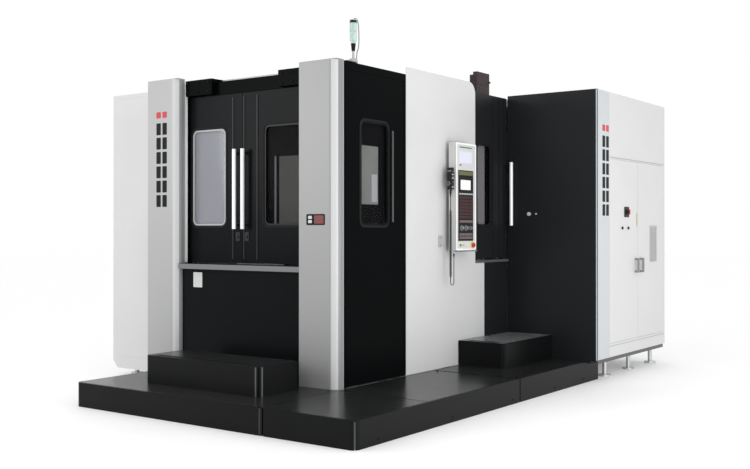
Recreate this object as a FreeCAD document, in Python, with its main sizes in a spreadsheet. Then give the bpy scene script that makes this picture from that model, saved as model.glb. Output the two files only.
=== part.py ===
import FreeCAD, Part
import os
import re
import math
import Sketcher

# Horizontal machining centre with a two-pallet changer, an operator platform round two
# sides and an electrical cabinet.  Millimetres, +X to the operator's side, +Y from the
# pallet doors to the back, +Z up, origin on the floor under the middle of the whole box.

SIZES = {
    # overall
    "machine_height": 3200,
    "enclosure_width": 2488,
    "enclosure_depth": 5280,
    "skin": 40,
    "gap": 5,
    "seat_gap": 0.3,
    "shaft_gap": 0.05,
    "floor_clear": 85,
    # magazine cover at the left
    "magazine_width": 1194,
    "magazine_setback": 536,
    "magazine_depth": 3100,
    "magazine_chamfer": 80,
    "magazine_opening_low": 1150,
    "magazine_opening_high": 2750,
    # electrical cabinet at the right rear
    "cabinet_breadth": 1095,
    "cabinet_length": 2070,
    "cabinet_base": 240,
    "cabinet_skin": 20,
    "cabinet_edge": 330,
    "cabinet_door_low": 390,
    "cabinet_door_high": 2460,
    "cabinet_door_margin": 60,
    "cabinet_door_thick": 24,
    "cabinet_recess": 32,
    "cabinet_pivot_inset": 12,
    "cabinet_pivot_depth": 4,
    "cabinet_pin_radius": 3,
    "cabinet_pin_length": 8,
    "pull_reach": 45,
    "pull_height": 170,
    "pull_width": 34,
    "pull_low": 1160,
    "pull_inset": 60,
    "drive_plate_inset": 250,
    "switch_radius": 34,
    "switch_height": 1868,
    "switch_along": 980,
    # platform and steps
    "platform_height": 227,
    "platform_front": 1041,
    "platform_side": 990,
    "platform_width": 3294,
    "platform_under_cabinet": 250,
    "platform_joint_x": 939,
    "platform_joint_y": 2630,
    "platform_joint_gap": 10,
    "platform_wall": 12,
    "platform_corner": 55,
    "platform_joint_corner": 22,
    "step_rise": 262,
    "step_corner": 50,
    "front_step_start": 566,
    "front_step_width": 1438,
    "front_step_depth": 507,
    "front_step_back": 185,
    "side_step_length": 1095,
    "side_step_width": 556,
    # pallet changer front
    "pillar_width": 440,
    "pillar_depth": 104,
    "pillar_corner": 90,
    "pillar_wall": 6,
    "door_recess": 170,
    "door_thick": 40,
    "sill_height": 1270,
    "sill_rise": 50,
    "front_panel_setback": 74,
    "front_panel_thick": 26,
    "sill_front": 14,
    "leaf_clear": 15,
    "leaf_head": 3010,
    "pivot_inset": 60,
    "pivot_radius": 10,
    "pivot_length": 14,
    "meet_offset": 65.5,
    "header_head": 3145,
    "hinge_box_head": 3178,
    "hinge_box_low": 3022,
    "hinge_box_depth": 160,
    "hinge_box_front": 110,
    "left_hinge_box": 372,
    "right_hinge_box": 352,
    "window_low": 1698,
    "window_high": 2680,
    "window_corner": 60,
    "glass_thick": 10,
    "leaf_window_edge": 35,
    "leaf_window_side": 220.5,
    "bar_radius": 20,
    "bar_post_inset": 40,
    "bar_reach": 60,
    "leaf_bar_low": 1670,
    "leaf_bar_high": 2455,
    "leaf_bar_inset": 56,
    # side door and the operator's door
    "side_door_length": 990,
    "side_door_low": 240,
    "side_door_head": 3190,
    "side_window_start": 244,
    "side_window_length": 448,
    "side_bar_start": 720,
    "side_bar_low": 1737,
    "side_bar_high": 2608,
    "side_bar_radius": 9,
    "side_bar_reach": 32,
    "white_length_high": 1348,
    "white_length_low": 1545,
    "white_sheet": 4,
    "white_rise": 64,
    "white_corner": 130,
    "operator_sill": 1300,
    "sill_thick": 28,
    "sill_start": 560,
    "sill_nose": 14,
    "roller_length": 60,
    "roller_inset": 70,
    "operator_door_low": 1345,
    "operator_door_head": 3170,
    "operator_overlap": 60,
    "operator_window_start": 105,
    "operator_window_length": 330,
    "operator_window_high": 2617,
    "operator_bar_low": 1711,
    "operator_bar_high": 2434,
    "operator_bar_inset": 40,
    "operator_bar_reach": 80,
    # roof
    "roof_thick": 30,
    "frame_post": 60,
    "frame_inset": 62,
    "lug_thick": 7,
    "flange_width": 130,
    "roof_top": 3178,
    "lamp_along": 282,
    "lamp_inset": 110,
    "lamp_radius": 33,
    "lamp_base_radius": 42,
    "lamp_stem": 11,
    "lamp_lens_low": 3326,
    "lamp_lens_mid": 3419,
    "lamp_lens_high": 3615,
    "blower_width": 60,
    "blower_height": 460,
    "blower_inset": 815,
    "blower_along": 3802,
    "blower_length": 306,
    "blower_head": 45,
    "blower_head_low": 305,
    "blower_head_high": 425,
    # operator's panel
    "panel_width": 410,
    "panel_height": 1124,
    "panel_depth": 84,
    "panel_low": 1446,
    "panel_standoff": 46,
    "panel_pivot_inset": 20,
    "knuckle_height": 90,
    "knuckle_half": 16,
    "knuckle_low": 220,
    "knuckle_high": 880,
    "hinge_pin_radius": 6,
    "panel_rear": 2239,
    "screen_width": 240,
    "screen_height": 150,
    "screen_low": 2066,
    "stop_radius": 22,
    "stop_reach": 34,
    "stop_height": 1500,
    "pendant_width": 54,
    "pendant_depth": 46,
    "pendant_height": 225,
    "pendant_low": 2078,
    "pendant_gap": 26,
    "wheel_radius": 23,
    "wheel_thick": 16,
    "curl_radius": 15,
    "curl_turn": 33,
    "curl_low": 1090,
    # machine inside
    "bed_low": 100,
    "bed_top": 750,
    "bed_front_width": 1200,
    "bed_front_start": 259,
    "bed_rear_start": 3559,
    "bed_side_clear": 119,
    "bed_rear_length": 1500,
    "rail_width": 60,
    "rail_height": 50,
    "rail_spread": 380,
    "axis_shift": 4,
    "exchange_pitch": 1600,
    "exchange_centre": 1459,
    "pallet_size": 630,
    "pallet_thick": 110,
    "pallet_lift": 80,
    "pallet_hole_radius": 8,
    "pallet_hole_pitch": 200,
    "pallet_hole_depth": 60,
    "saddle_width": 980,
    "saddle_length": 820,
    "saddle_height": 280,
    "saddle_skirt": 40,
    "table_radius": 250,
    "table_height": 140,
    "table_spigot": 110,
    "table_spigot_depth": 100,
    "fork_set": 47,
    "fork_width": 66,
    "fork_height": 60,
    "post_radius": 150,
    "post_height": 330,
    "post_depth": 280,
    "post_bore": 400,
    "divider_clear": 194,
    "divider_thick": 36,
    "divider_height": 1200,
    "column_width": 1240,
    "column_length": 950,
    "column_setback": 3759,
    "column_height": 2000,
    "column_window": 700,
    "column_beam": 260,
    "head_height": 560,
    "head_length": 1150,
    "head_reach": 260,
    "spindle_height": 2000,
    "spindle_radius": 105,
    "spindle_nose": 200,
    "spindle_depth": 600,
    "taper_radius": 34.925,
    "taper_depth": 102,
    "disc_radius": 470,
    "disc_thick": 90,
    "disc_axis_inset": 592,
    "disc_along": 2850,
    "pocket_radius": 34,
    "pocket_count": 24,
    "pocket_inset": 60,
    "arm_half": 460,
    "arm_width": 120,
    "arm_thick": 50,
    "arm_axis_inset": 330,
    "arm_along": 3120,
    "foot_radius": 70,
    "foot_plate": 22,
    "foot_stem": 25,
}

# Places worked out from the sizes above, each in the same words wherever it is used.
PLACES = {
    "right_x": "(pull_reach + cabinet_breadth + enclosure_width + magazine_width) / 2",
    "front_y": "-(platform_front + enclosure_depth) / 2",
    "rear_y": "(platform_front + enclosure_depth) / 2",
    "face_x": "right_x - pull_reach",
    "side_x": "face_x - cabinet_breadth",
    "left_x": "side_x - enclosure_width",
    "magazine_x": "left_x - magazine_width",
    "pillar_y": "front_y + platform_front",
    "pillar_left_in": "left_x + pillar_width",
    "pillar_right_in": "side_x - pillar_width",
    "wall_y": "rear_y - cabinet_length",
    "leaf_y": "pillar_y + door_recess",
    "leaf_back_y": "leaf_y + door_thick",
    "sill_top": "sill_height + sill_rise",
    "leaf_low": "sill_top + leaf_clear",
    "leaf_height": "leaf_head - leaf_low",
    "meet_x": "(pillar_left_in + pillar_right_in) / 2 - meet_offset",
    "left_leaf_width": "meet_x - gap - pillar_left_in",
    "leaf_window_width": "left_leaf_width - leaf_window_edge - leaf_window_side",
    "right_leaf_width": "pillar_right_in - gap - meet_x - gap",
    "window_height": "window_high - window_low",
    "side_door_y": "pillar_y + pillar_depth + gap",
    "white_y": "side_door_y + side_door_length + gap",
    "white_high_end": "white_y + white_length_high",
    "white_low_end": "white_y + white_length_low",
    "operator_x": "side_x - white_sheet - gap",
    "operator_y": "white_high_end - operator_overlap",
    "operator_end": "wall_y - cabinet_skin - gap",
    "roof_x": "operator_x - door_thick - gap",
    "frame_x": "side_x - frame_inset - frame_post",
    "panel_pivot_x": "side_x + panel_standoff / 2",
    "panel_pivot_y": "panel_end - panel_pivot_inset",
    "axis_x": "side_x - enclosure_width / 2 + axis_shift",
    "bed_rear_width": "enclosure_width - 2 * bed_side_clear",
    "fork_inner": "pallet_size / 2 - fork_set",
    "divider_width": "enclosure_width - 2 * divider_clear",
    "exchange_y": "pillar_y + exchange_centre",
    "setup_y": "exchange_y - exchange_pitch / 2",
    "work_y": "exchange_y + exchange_pitch / 2",
    "saddle_low": "bed_top + rail_height + seat_gap",
    "table_low": "saddle_low + saddle_height + seat_gap",
    "table_top": "table_low + table_height",
    "pallet_low": "table_top + seat_gap + pallet_lift",
    "panel_x": "side_x + panel_standoff",
    "panel_face": "panel_x + panel_depth",
    "panel_end": "pillar_y + panel_rear",
    "panel_start": "panel_end - panel_width",
    "column_y": "pillar_y + column_setback",
    "column_low": "bed_top + 100 + rail_height + seat_gap",
    "cabinet_inner_x": "face_x - cabinet_recess",
    "door_start": "wall_y + cabinet_edge",
    "door_end": "rear_y - cabinet_door_margin",
    "door_meet": "(door_start + door_end) / 2",
}

doc = FreeCAD.newDocument("machining_center")
sheet = doc.addObject("Spreadsheet::Sheet", "sizes")
for row, (word, value) in enumerate(SIZES.items(), start=1):
    sheet.set(f"A{row}", word)
    sheet.set(f"B{row}", str(value))
    sheet.setAlias(f"B{row}", word)
doc.recompute()

probe = doc.addObject("App::FeaturePython", "probe")
probe.addProperty("App::PropertyFloat", "reading")
pieces = {}


def formula(text):
    """An expression on the sheet: every place is spelt out, every size gets its cell."""
    words = re.compile(r"[a-z][a-z_]+")
    text = str(text)
    while any(word in PLACES for word in words.findall(text)):
        text = words.sub(lambda m: f"({PLACES[m[0]]})" if m[0] in PLACES else m[0], text)
    return words.sub(lambda m: f"sizes.{m[0]}" if m[0] in SIZES else m[0], text)


def measure(text):
    """The value in millimetres that a formula has now."""
    probe.setExpression("reading", formula(text))
    probe.recompute()
    return probe.reading


def bind(thing, **settings):
    for name, text in settings.items():
        thing.setExpression(name, formula(text))
    return thing


def put(thing, x=0, y=0, z=0):
    """Bind a thing's place; its turn stays as it is."""
    for axis, text in zip("xyz", (x, y, z)):
        thing.setExpression(f"Placement.Base.{axis}", formula(text))
    return thing


def keep(name, thing):
    """Make a thing one of the machine's pieces."""
    thing.Label = name
    pieces[name] = thing
    return thing


TURNS = {
    "up": FreeCAD.Rotation(),
    "front": FreeCAD.Rotation(FreeCAD.Vector(1, 0, 0), 90),
    "side": FreeCAD.Rotation(FreeCAD.Vector(1, 1, 1), 120),
    "x": FreeCAD.Rotation(FreeCAD.Vector(0, 1, 0), 90),
    "y": FreeCAD.Rotation(FreeCAD.Vector(1, 0, 0), -90),
    "z": FreeCAD.Rotation(),
}


def block(low, size):
    thing = doc.addObject("Part::Box", "block")
    bind(thing, Length=size[0], Width=size[1], Height=size[2])
    return put(thing, *low)


def rod(axis, start, radius, length):
    thing = doc.addObject("Part::Cylinder", "rod")
    bind(thing, Radius=radius, Height=length)
    thing.Placement = FreeCAD.Placement(FreeCAD.Vector(), TURNS[axis])
    return put(thing, *start)


def join(*things):
    thing = doc.addObject("Part::MultiFuse", "join")
    thing.Shapes = list(things)
    return thing


def group(*things):
    thing = doc.addObject("Part::Compound", "group")
    thing.Links = list(things)
    return thing


def cut(base, *tools):
    thing = doc.addObject("Part::Cut", "cut")
    thing.Base = base
    thing.Tool = tools[0] if len(tools) == 1 else join(*tools)
    return thing


def sketch(body, corners):
    """A closed outline on the body's ground plane, each corner held by two sizes."""
    drawing = body.newObject("Sketcher::SketchObject", "outline")
    plane = next(f for f in body.Origin.OriginFeatures if f.Role == "XY_Plane")
    drawing.AttachmentSupport = [(plane, "")]
    drawing.MapMode = "FlatFace"
    points = [FreeCAD.Vector(measure(a), measure(b), 0) for a, b in corners]
    for start, end in zip(points, points[1:] + points[:1]):
        drawing.addGeometry(Part.LineSegment(start, end), False)
    for n in range(len(points)):
        drawing.addConstraint(Sketcher.Constraint("Coincident", n, 2, (n + 1) % len(points), 1))
    for n, (corner, point) in enumerate(zip(corners, points)):
        for kind, text, value in (("DistanceX", corner[0], point.x), ("DistanceY", corner[1], point.y)):
            held = drawing.addConstraint(Sketcher.Constraint(kind, -1, 1, n, 1, value))
            drawing.setExpression(f"Constraints[{held}]", formula(text))
    return drawing


def upright_edges(shape, want):
    """Names of the straight edges along the pad whose middle passes the test."""
    names = []
    for n, edge in enumerate(shape.Edges, start=1):
        box = edge.BoundBox
        if box.XLength + box.YLength < 0.01 < box.ZLength and want(box.Center):
            names.append(f"Edge{n}")
    return names


def oblong(low_a, low_b, high_a, high_b):
    return [(low_a, low_b), (high_a, low_b), (high_a, high_b), (low_a, high_b)]


def plate(facing, base, outline, thick, holes=(), hole_round=None, corner_round=None, corners=None):
    """A padded outline with holes through it; facing up, to the front or to the side."""
    body = doc.addObject("PartDesign::Body", "plate")
    pad = body.newObject("PartDesign::Pad", "sheet")
    pad.Profile = sketch(body, outline)
    bind(pad, Length=thick)
    doc.recompute()
    for hole in holes:
        pocket = body.newObject("PartDesign::Pocket", "hole")
        pocket.Profile = sketch(body, hole)
        pocket.Type = "ThroughAll"
        pocket.Reversed = True
        before = body.Shape.Volume
        doc.recompute()
        if pocket.Shape.Volume >= before:
            raise ValueError("a hole cuts nothing")
    edge_of = body.Shape.BoundBox

    def inside(point):
        return (
            edge_of.XMin + 1 < point.x < edge_of.XMax - 1
            and edge_of.YMin + 1 < point.y < edge_of.YMax - 1
        )

    picks = []
    if hole_round:
        picks.append((hole_round, inside))
    if corner_round:
        picks.append((corner_round, corners or (lambda point: not inside(point))))
    for radius, want in picks:
        solid = body.Tip
        fillet = body.newObject("PartDesign::Fillet", "rounding")
        fillet.Base = (solid, upright_edges(solid.Shape, want))
        bind(fillet, Radius=radius)
        doc.recompute()
    body.Placement = FreeCAD.Placement(FreeCAD.Vector(), TURNS[facing])
    return put(body, *base)


def turned(axis, start, profile):
    """A body turned about its own axis from half of its section, as (radius, height) corners."""
    body = doc.addObject("PartDesign::Body", "turned")
    drawing = sketch(body, profile)
    turn = body.newObject("PartDesign::Revolution", "turning")
    turn.Profile = drawing
    turn.ReferenceAxis = (drawing, ["V_Axis"])
    turn.Angle = 360
    doc.recompute()
    stand = FreeCAD.Rotation(FreeCAD.Vector(1, 0, 0), 90)
    body.Placement = FreeCAD.Placement(FreeCAD.Vector(), TURNS[axis] * stand)
    return put(body, *start)


def bar(facing, base, length, reach, radius="bar_radius"):
    """A straight pull bar on two posts; it stands on base and reaches to the front or the side."""
    x, y, z = base
    grip_base = (x, f"{y} - {reach}", z) if facing == "front" else (f"{x} + {reach}", y, z)
    grip = rod("z", grip_base, radius, length)
    posts = []
    for height in (f"{z} + bar_post_inset", f"{z} + {length} - bar_post_inset"):
        foot = (x, f"{y} - {reach}", height) if facing == "front" else (x, y, height)
        posts.append(rod("y" if facing == "front" else "x", foot, f"{radius} / 2", reach))
    return join(grip, *posts)


# ---------------------------------------------------------------- platform and steps
def box_edges(box_object, wants):
    """Numbers of a box's upright edges at the wanted corners, such as ("XMax", "YMin")."""
    box = box_object.Shape.BoundBox
    numbers = []
    for n, edge in enumerate(box_object.Shape.Edges, start=1):
        at = edge.BoundBox
        if at.ZLength > 1 and any(
            abs(at.XMin - getattr(box, x)) < 1 and abs(at.YMin - getattr(box, y)) < 1 for x, y in wants
        ):
            numbers.append(n)
    return numbers


def rounded(box_object, radius, wants):
    """The same box with some upright edges rounded."""
    thing = doc.addObject("Part::Fillet", "rounded")
    thing.Base = box_object
    doc.recompute()
    size = measure(radius)
    thing.Edges = [(n, size, size) for n in box_edges(box_object, wants)]
    return thing


def hollow(low, size):
    """The space under a folded sheet step of this size."""
    low = (f"{low[0]} + platform_wall", f"{low[1]} + platform_wall", f"{low[2]} - 1")
    across, along = (f"{length} - 2 * platform_wall" for length in size[:2])
    return block(low, (across, along, f"{size[2]} - platform_wall + 1"))


def folded_step(low, size, radius, wants, joint=None):
    """A step folded from sheet; the corners it shares with its neighbour are rounded less."""
    outer = block(low, size)
    if joint:
        outer = rounded(outer, "platform_joint_corner", joint)
    return cut(rounded(outer, radius, wants) if radius else outer, hollow(low, size))


platform_right = "side_x + platform_side"
joint_x = f"({platform_right} - platform_joint_x)"
joint_y = "(front_y + platform_joint_y)"
side_platform_x = "side_x + gap"
front_low = (f"{platform_right} - platform_width", "front_y", 0)
front_size = (
    "platform_width - platform_joint_x - platform_joint_gap",
    "platform_front - seat_gap",
    "platform_height",
)
front_corners = [("XMin", "YMin")]
front_joint = [("XMax", "YMin")]
keep("platform_front", folded_step(front_low, front_size, "platform_corner", front_corners, front_joint))
corner_low = (joint_x, "front_y", 0)
corner_size = ("platform_joint_x", "platform_front + 1", "platform_height")
strip_low = (side_platform_x, "pillar_y", 0)
strip_size = ("platform_side - gap", "platform_joint_y - platform_front", "platform_height")
keep(
    "platform_corner",
    cut(
        join(
            rounded(
                rounded(block(corner_low, corner_size), "platform_joint_corner", [("XMin", "YMin")]),
                "platform_corner",
                [("XMax", "YMin")],
            ),
            block(strip_low, strip_size),
        ),
        hollow(corner_low, corner_size),
        hollow(strip_low, strip_size),
    ),
)
rear_low = (side_platform_x, f"{joint_y} + platform_joint_gap", 0)
rear_size = (
    "platform_side - gap",
    f"wall_y + platform_under_cabinet - {joint_y} - platform_joint_gap",
    "platform_height",
)
keep("platform_side", folded_step(rear_low, rear_size, None, None, [("XMax", "YMin")]))
step_corners = [("XMax", "YMin"), ("XMin", "YMin")]
keep(
    "step_front",
    folded_step(
        (
            f"{platform_right} - platform_width + front_step_start",
            "pillar_y - front_step_back - front_step_depth",
            "platform_height",
        ),
        ("front_step_width", "front_step_depth", "step_rise"),
        "step_corner",
        step_corners,
    ),
)
keep(
    "step_side",
    folded_step(
        ("side_x + gap", "operator_end - side_step_length", "platform_height"),
        ("side_step_width - gap", "side_step_length", "step_rise"),
        "step_corner",
        [("XMax", "YMin")],
    ),
)


# ---------------------------------------------------------------- pallet changer front
def pillar(left):
    """A hollow square column, open at its ends, with its right front corner rounded."""
    bevel = "pillar_corner * 0.6"
    low, high, back = "pillar_wall", "pillar_width - pillar_wall", "pillar_depth - pillar_wall"
    inside = [(low, low), (f"{high} - {bevel}", low), (high, f"{low} + {bevel}"), (high, back), (low, back)]
    return plate(
        "up",
        (left, "pillar_y", 0),
        oblong(0, 0, "pillar_width", "pillar_depth"),
        "machine_height",
        holes=[inside],
        corner_round="pillar_corner",
        corners=lambda point: point.y < 1 < point.x,
    )


side_sheet = block(
    ("left_x", "pillar_y + pillar_depth - 1", 0),
    ("platform_wall", "magazine_setback - pillar_depth + 1 - seat_gap", "roof_top - roof_thick"),
)
keep("left_pillar", join(pillar("left_x"), side_sheet))
keep("right_pillar", pillar("pillar_right_in"))

bay_x = "pillar_left_in + seat_gap"
bay_width = "(pillar_right_in - pillar_left_in)"
bay_inside = f"{bay_width} - 2 * seat_gap"
left_pivot_x = "(pillar_left_in + gap + pivot_inset)"
right_pivot_x = "(pillar_right_in - gap - pivot_inset)"
leaf_pivot_y = "(leaf_y + door_thick / 2)"
pivot_bore = "pivot_radius + shaft_gap"
keep(
    "front_lower_panel",
    block(
        (bay_x, "pillar_y + front_panel_setback", 0),
        (bay_inside, "front_panel_thick", "sill_height"),
    ),
)
keep(
    "front_sill_rail",
    cut(
        block(
            (bay_x, "pillar_y + sill_front", "sill_height"),
            (bay_inside, "leaf_back_y - pillar_y - sill_front", "sill_rise"),
        ),
        *[
            rod("z", (x, leaf_pivot_y, "sill_top - pivot_length"), pivot_bore, "pivot_length + 1")
            for x in (left_pivot_x, right_pivot_x)
        ],
    ),
)


def hinge_box(left, width):
    return block(
        (left, "pillar_y + hinge_box_front", "hinge_box_low"),
        (width, "hinge_box_depth", "hinge_box_head - hinge_box_low"),
    )


def jamb(left):
    """A door post behind a pillar, from the floor to the header."""
    return block(
        (left, "pillar_y + pillar_depth", 0),
        ("pillar_wall * 4", "door_recess - pillar_depth + door_thick", "header_head"),
    )


beam_depth = "hinge_box_front + hinge_box_depth - door_recess"
keep(
    "front_header",
    cut(
        join(
            block(
                ("pillar_left_in - 1", "leaf_y", "leaf_head + gap"),
                (f"{bay_width} + 2", beam_depth, "header_head - leaf_head - gap"),
            ),
            hinge_box(bay_x, "left_hinge_box"),
            hinge_box("pillar_right_in - seat_gap - right_hinge_box", "right_hinge_box"),
            jamb("pillar_left_in - pillar_wall * 4"),
            jamb("pillar_right_in"),
        ),
        *[
            rod("z", (x, leaf_pivot_y, "leaf_head"), pivot_bore, "gap + pivot_length + 1")
            for x in (left_pivot_x, right_pivot_x)
        ],
    ),
)


def leaf(name, left, width, window_start, pivot_x):
    """A swinging door leaf with a rounded window, turning on a pin at its head and foot."""
    window = oblong(
        window_start,
        "window_low - leaf_low",
        f"{window_start} + leaf_window_width",
        "window_high - leaf_low",
    )
    sheet_metal = plate(
        "front",
        (left, "leaf_back_y", "leaf_low"),
        oblong(0, 0, width, "leaf_height"),
        "door_thick",
        holes=[window],
        hole_round="window_corner",
    )
    top_pin = rod(
        "z",
        (pivot_x, leaf_pivot_y, "leaf_head - 1"),
        "pivot_radius",
        "pivot_length + gap + 1 - seat_gap",
    )
    foot_pin = rod(
        "z",
        (pivot_x, leaf_pivot_y, "sill_top - pivot_length + seat_gap"),
        "pivot_radius",
        "leaf_clear + pivot_length + 1 - seat_gap",
    )
    keep(f"{name}_door", join(sheet_metal, top_pin, foot_pin))
    glass_low = (
        f"{left} + {window_start} + seat_gap",
        "leaf_back_y - (door_thick - glass_thick) / 2",
        "window_low + seat_gap",
    )
    glass_size = oblong(0, 0, "leaf_window_width - 2 * seat_gap", "window_height - 2 * seat_gap")
    keep(f"{name}_window", plate("front", glass_low, glass_size, "glass_thick", corner_round="window_corner"))


leaf("apc_left", "(pillar_left_in + gap)", "left_leaf_width", "leaf_window_edge", left_pivot_x)
leaf(
    "apc_right",
    "(meet_x + gap)",
    "right_leaf_width",
    "(right_leaf_width - leaf_window_edge * 3 - leaf_window_width)",
    right_pivot_x,
)
for side, sign in (("left", "-"), ("right", "+")):
    grip_base = (f"meet_x {sign} leaf_bar_inset", "leaf_y", "leaf_bar_low")
    grip = bar("front", grip_base, "(leaf_bar_high - leaf_bar_low)", "bar_reach")
    keep(f"apc_{side}_handle", grip)

# ---------------------------------------------------------------- operator's side
side_pivot = ("side_x - door_thick / 2", "side_door_y + pivot_inset")
side_window_hole = oblong(
    "side_window_start",
    "window_low - side_door_low",
    "side_window_start + side_window_length",
    "window_high - side_door_low",
)
keep(
    "side_door",
    join(
        plate(
            "side",
            ("side_x - door_thick", "side_door_y", "side_door_low"),
            oblong(0, 0, "side_door_length", "side_door_head - side_door_low"),
            "door_thick",
            holes=[side_window_hole],
            hole_round="window_corner",
        ),
        rod("z", (*side_pivot, "side_door_head - 1"), "pivot_radius", "lug_thick + 1"),
        rod("z", (*side_pivot, "side_door_low - lug_thick"), "pivot_radius", "lug_thick + 1"),
    ),
)
keep(
    "side_window",
    plate(
        "side",
        (
            "side_x - (door_thick + glass_thick) / 2",
            "side_door_y + side_window_start + seat_gap",
            "window_low + seat_gap",
        ),
        oblong(0, 0, "side_window_length - 2 * seat_gap", "window_height - 2 * seat_gap"),
        "glass_thick",
        corner_round="window_corner",
    ),
)
side_bar_base = ("side_x", "side_door_y + side_bar_start", "side_bar_low")
side_bar_height = "(side_bar_high - side_bar_low)"
keep("side_handle", bar("side", side_bar_base, side_bar_height, "side_bar_reach", "side_bar_radius"))

white_high = "machine_height + white_rise - platform_height - gap"
white_sheet = plate(
    "side",
    ("side_x - white_sheet", "white_y", "platform_height + gap"),
    [
        (0, 0),
        ("white_length_low", 0),
        ("white_length_low", "operator_sill - platform_height - gap"),
        ("white_length_high", "operator_sill - platform_height - gap"),
        ("white_length_high", white_high),
        (0, white_high),
    ],
    "white_sheet",
    corner_round="white_corner",
    corners=lambda point: point.x > measure("white_length_high") - 1 and point.y > measure("operator_sill"),
)
top_flange = block(
    ("side_x - flange_width", "white_y", "roof_top + seat_gap"),
    ("flange_width - 1", "white_length_high - white_corner", "white_sheet"),
)
front_flange = block(
    ("side_x - flange_width / 3", "white_y", "platform_height + gap"),
    ("flange_width / 3 - 1", "white_sheet", "roof_top - roof_thick - platform_height - 2 * gap"),
)
keep("side_white_panel", join(white_sheet, top_flange, front_flange))
keep(
    "operator_lower_panel",
    block(
        ("side_x - door_thick", "white_low_end + seat_gap", "platform_height + gap"),
        ("door_thick", "operator_end - white_low_end - seat_gap", "operator_sill - platform_height - gap"),
    ),
)
sill_low = "operator_sill + seat_gap"
sill_x = "(operator_x - door_thick - gap)"
sill_width = f"side_x - white_sheet - seat_gap - {sill_x}"
keep(
    "operator_sill",
    join(
        block(
            (sill_x, "white_y + sill_start", sill_low),
            (sill_width, "operator_end - white_y - sill_start", "sill_thick"),
        ),
        block(
            (sill_x, "white_high_end + seat_gap", sill_low),
            (f"side_x + sill_nose - {sill_x}", "operator_end - white_high_end - seat_gap", "sill_thick"),
        ),
    ),
)
operator_window_hole = oblong(
    "operator_window_start",
    "window_low - operator_door_low",
    "operator_window_start + operator_window_length",
    "operator_window_high - operator_door_low",
)
rollers = [
    block(
        ("operator_x - door_thick + 8", along, f"{sill_low} + sill_thick + seat_gap"),
        ("door_thick - 16", "roller_length", f"operator_door_low + 1 - ({sill_low} + sill_thick + seat_gap)"),
    )
    for along in ("operator_y + roller_inset", "operator_end - gap - roller_inset - roller_length")
]
keep(
    "operator_door",
    join(
        plate(
            "side",
            ("operator_x - door_thick", "operator_y", "operator_door_low"),
            oblong(0, 0, "operator_end - gap - operator_y", "operator_door_head - operator_door_low"),
            "door_thick",
            holes=[operator_window_hole],
            hole_round="window_corner",
        ),
        *rollers,
    ),
)
keep(
    "operator_window",
    plate(
        "side",
        (
            "operator_x - (door_thick + glass_thick) / 2",
            "operator_y + operator_window_start + seat_gap",
            "window_low + seat_gap",
        ),
        oblong(
            0,
            0,
            "operator_window_length - 2 * seat_gap",
            "operator_window_high - window_low - 2 * seat_gap",
        ),
        "glass_thick",
        corner_round="window_corner",
    ),
)
operator_bar_base = ("operator_x", "operator_end - operator_bar_inset", "operator_bar_low")
operator_bar_length = "(operator_bar_high - operator_bar_low)"
operator_grip = bar("side", operator_bar_base, operator_bar_length, "operator_bar_reach")
keep("operator_handle", operator_grip)

# ---------------------------------------------------------------- electrical cabinet
keep(
    "cabinet_side_wall",
    block(
        ("side_x", "wall_y - cabinet_skin", "platform_height + seat_gap"),
        ("cabinet_breadth", "cabinet_skin - seat_gap", "machine_height - platform_height - seat_gap"),
    ),
)
door_height = "(cabinet_door_high - cabinet_door_low)"
cabinet_pivots = ("(door_start + cabinet_pivot_inset)", "(door_end - cabinet_pivot_inset)")
cabinet_pivot_x = "face_x - cabinet_pivot_depth"
keep(
    "electrical_cabinet",
    cut(
        block(
            ("side_x", "wall_y", "cabinet_base"),
            ("cabinet_breadth", "cabinet_length", "machine_height - cabinet_base"),
        ),
        block(
            ("side_x + cabinet_skin", "wall_y + cabinet_skin", "cabinet_base + cabinet_skin"),
            (
                "cabinet_breadth - 3 * cabinet_skin - cabinet_recess",
                "cabinet_length - 2 * cabinet_skin",
                "machine_height - cabinet_base - 2 * cabinet_skin",
            ),
        ),
        block(
            ("cabinet_inner_x", "door_start", "cabinet_door_low"),
            ("cabinet_recess + 1", "door_end - door_start", door_height),
        ),
        block(
            ("side_x + cabinet_breadth / 2", "door_start + cabinet_skin", "cabinet_door_low + cabinet_skin"),
            (
                "cabinet_breadth",
                "door_end - door_start - 2 * cabinet_skin",
                f"{door_height} - 2 * cabinet_skin",
            ),
        ),
        *[
            rod(
                "z",
                (cabinet_pivot_x, along, "cabinet_door_low - cabinet_pin_length"),
                "cabinet_pin_radius + shaft_gap",
                f"{door_height} + 2 * cabinet_pin_length",
            )
            for along in cabinet_pivots
        ],
    ),
)
drive_x = "(side_x + drive_plate_inset)"
drive_plate = block(
    (drive_x, "wall_y + cabinet_skin + seat_gap", "cabinet_base + cabinet_skin + seat_gap"),
    (8, "cabinet_length - 2 * cabinet_skin - 2 * seat_gap", "machine_height - cabinet_base - 500"),
)
drives = [
    block(
        (f"{drive_x} + 7", f"wall_y + cabinet_edge + 60 + {n} * 300", f"cabinet_base + {low}"),
        (deep, 240, tall),
    )
    for n in range(5)
    for low, deep, tall in ((450, 260, 420), (1150, 200, 380), (1800, 120, 260))
]
keep("drive_plate", join(drive_plate, *drives))

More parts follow.
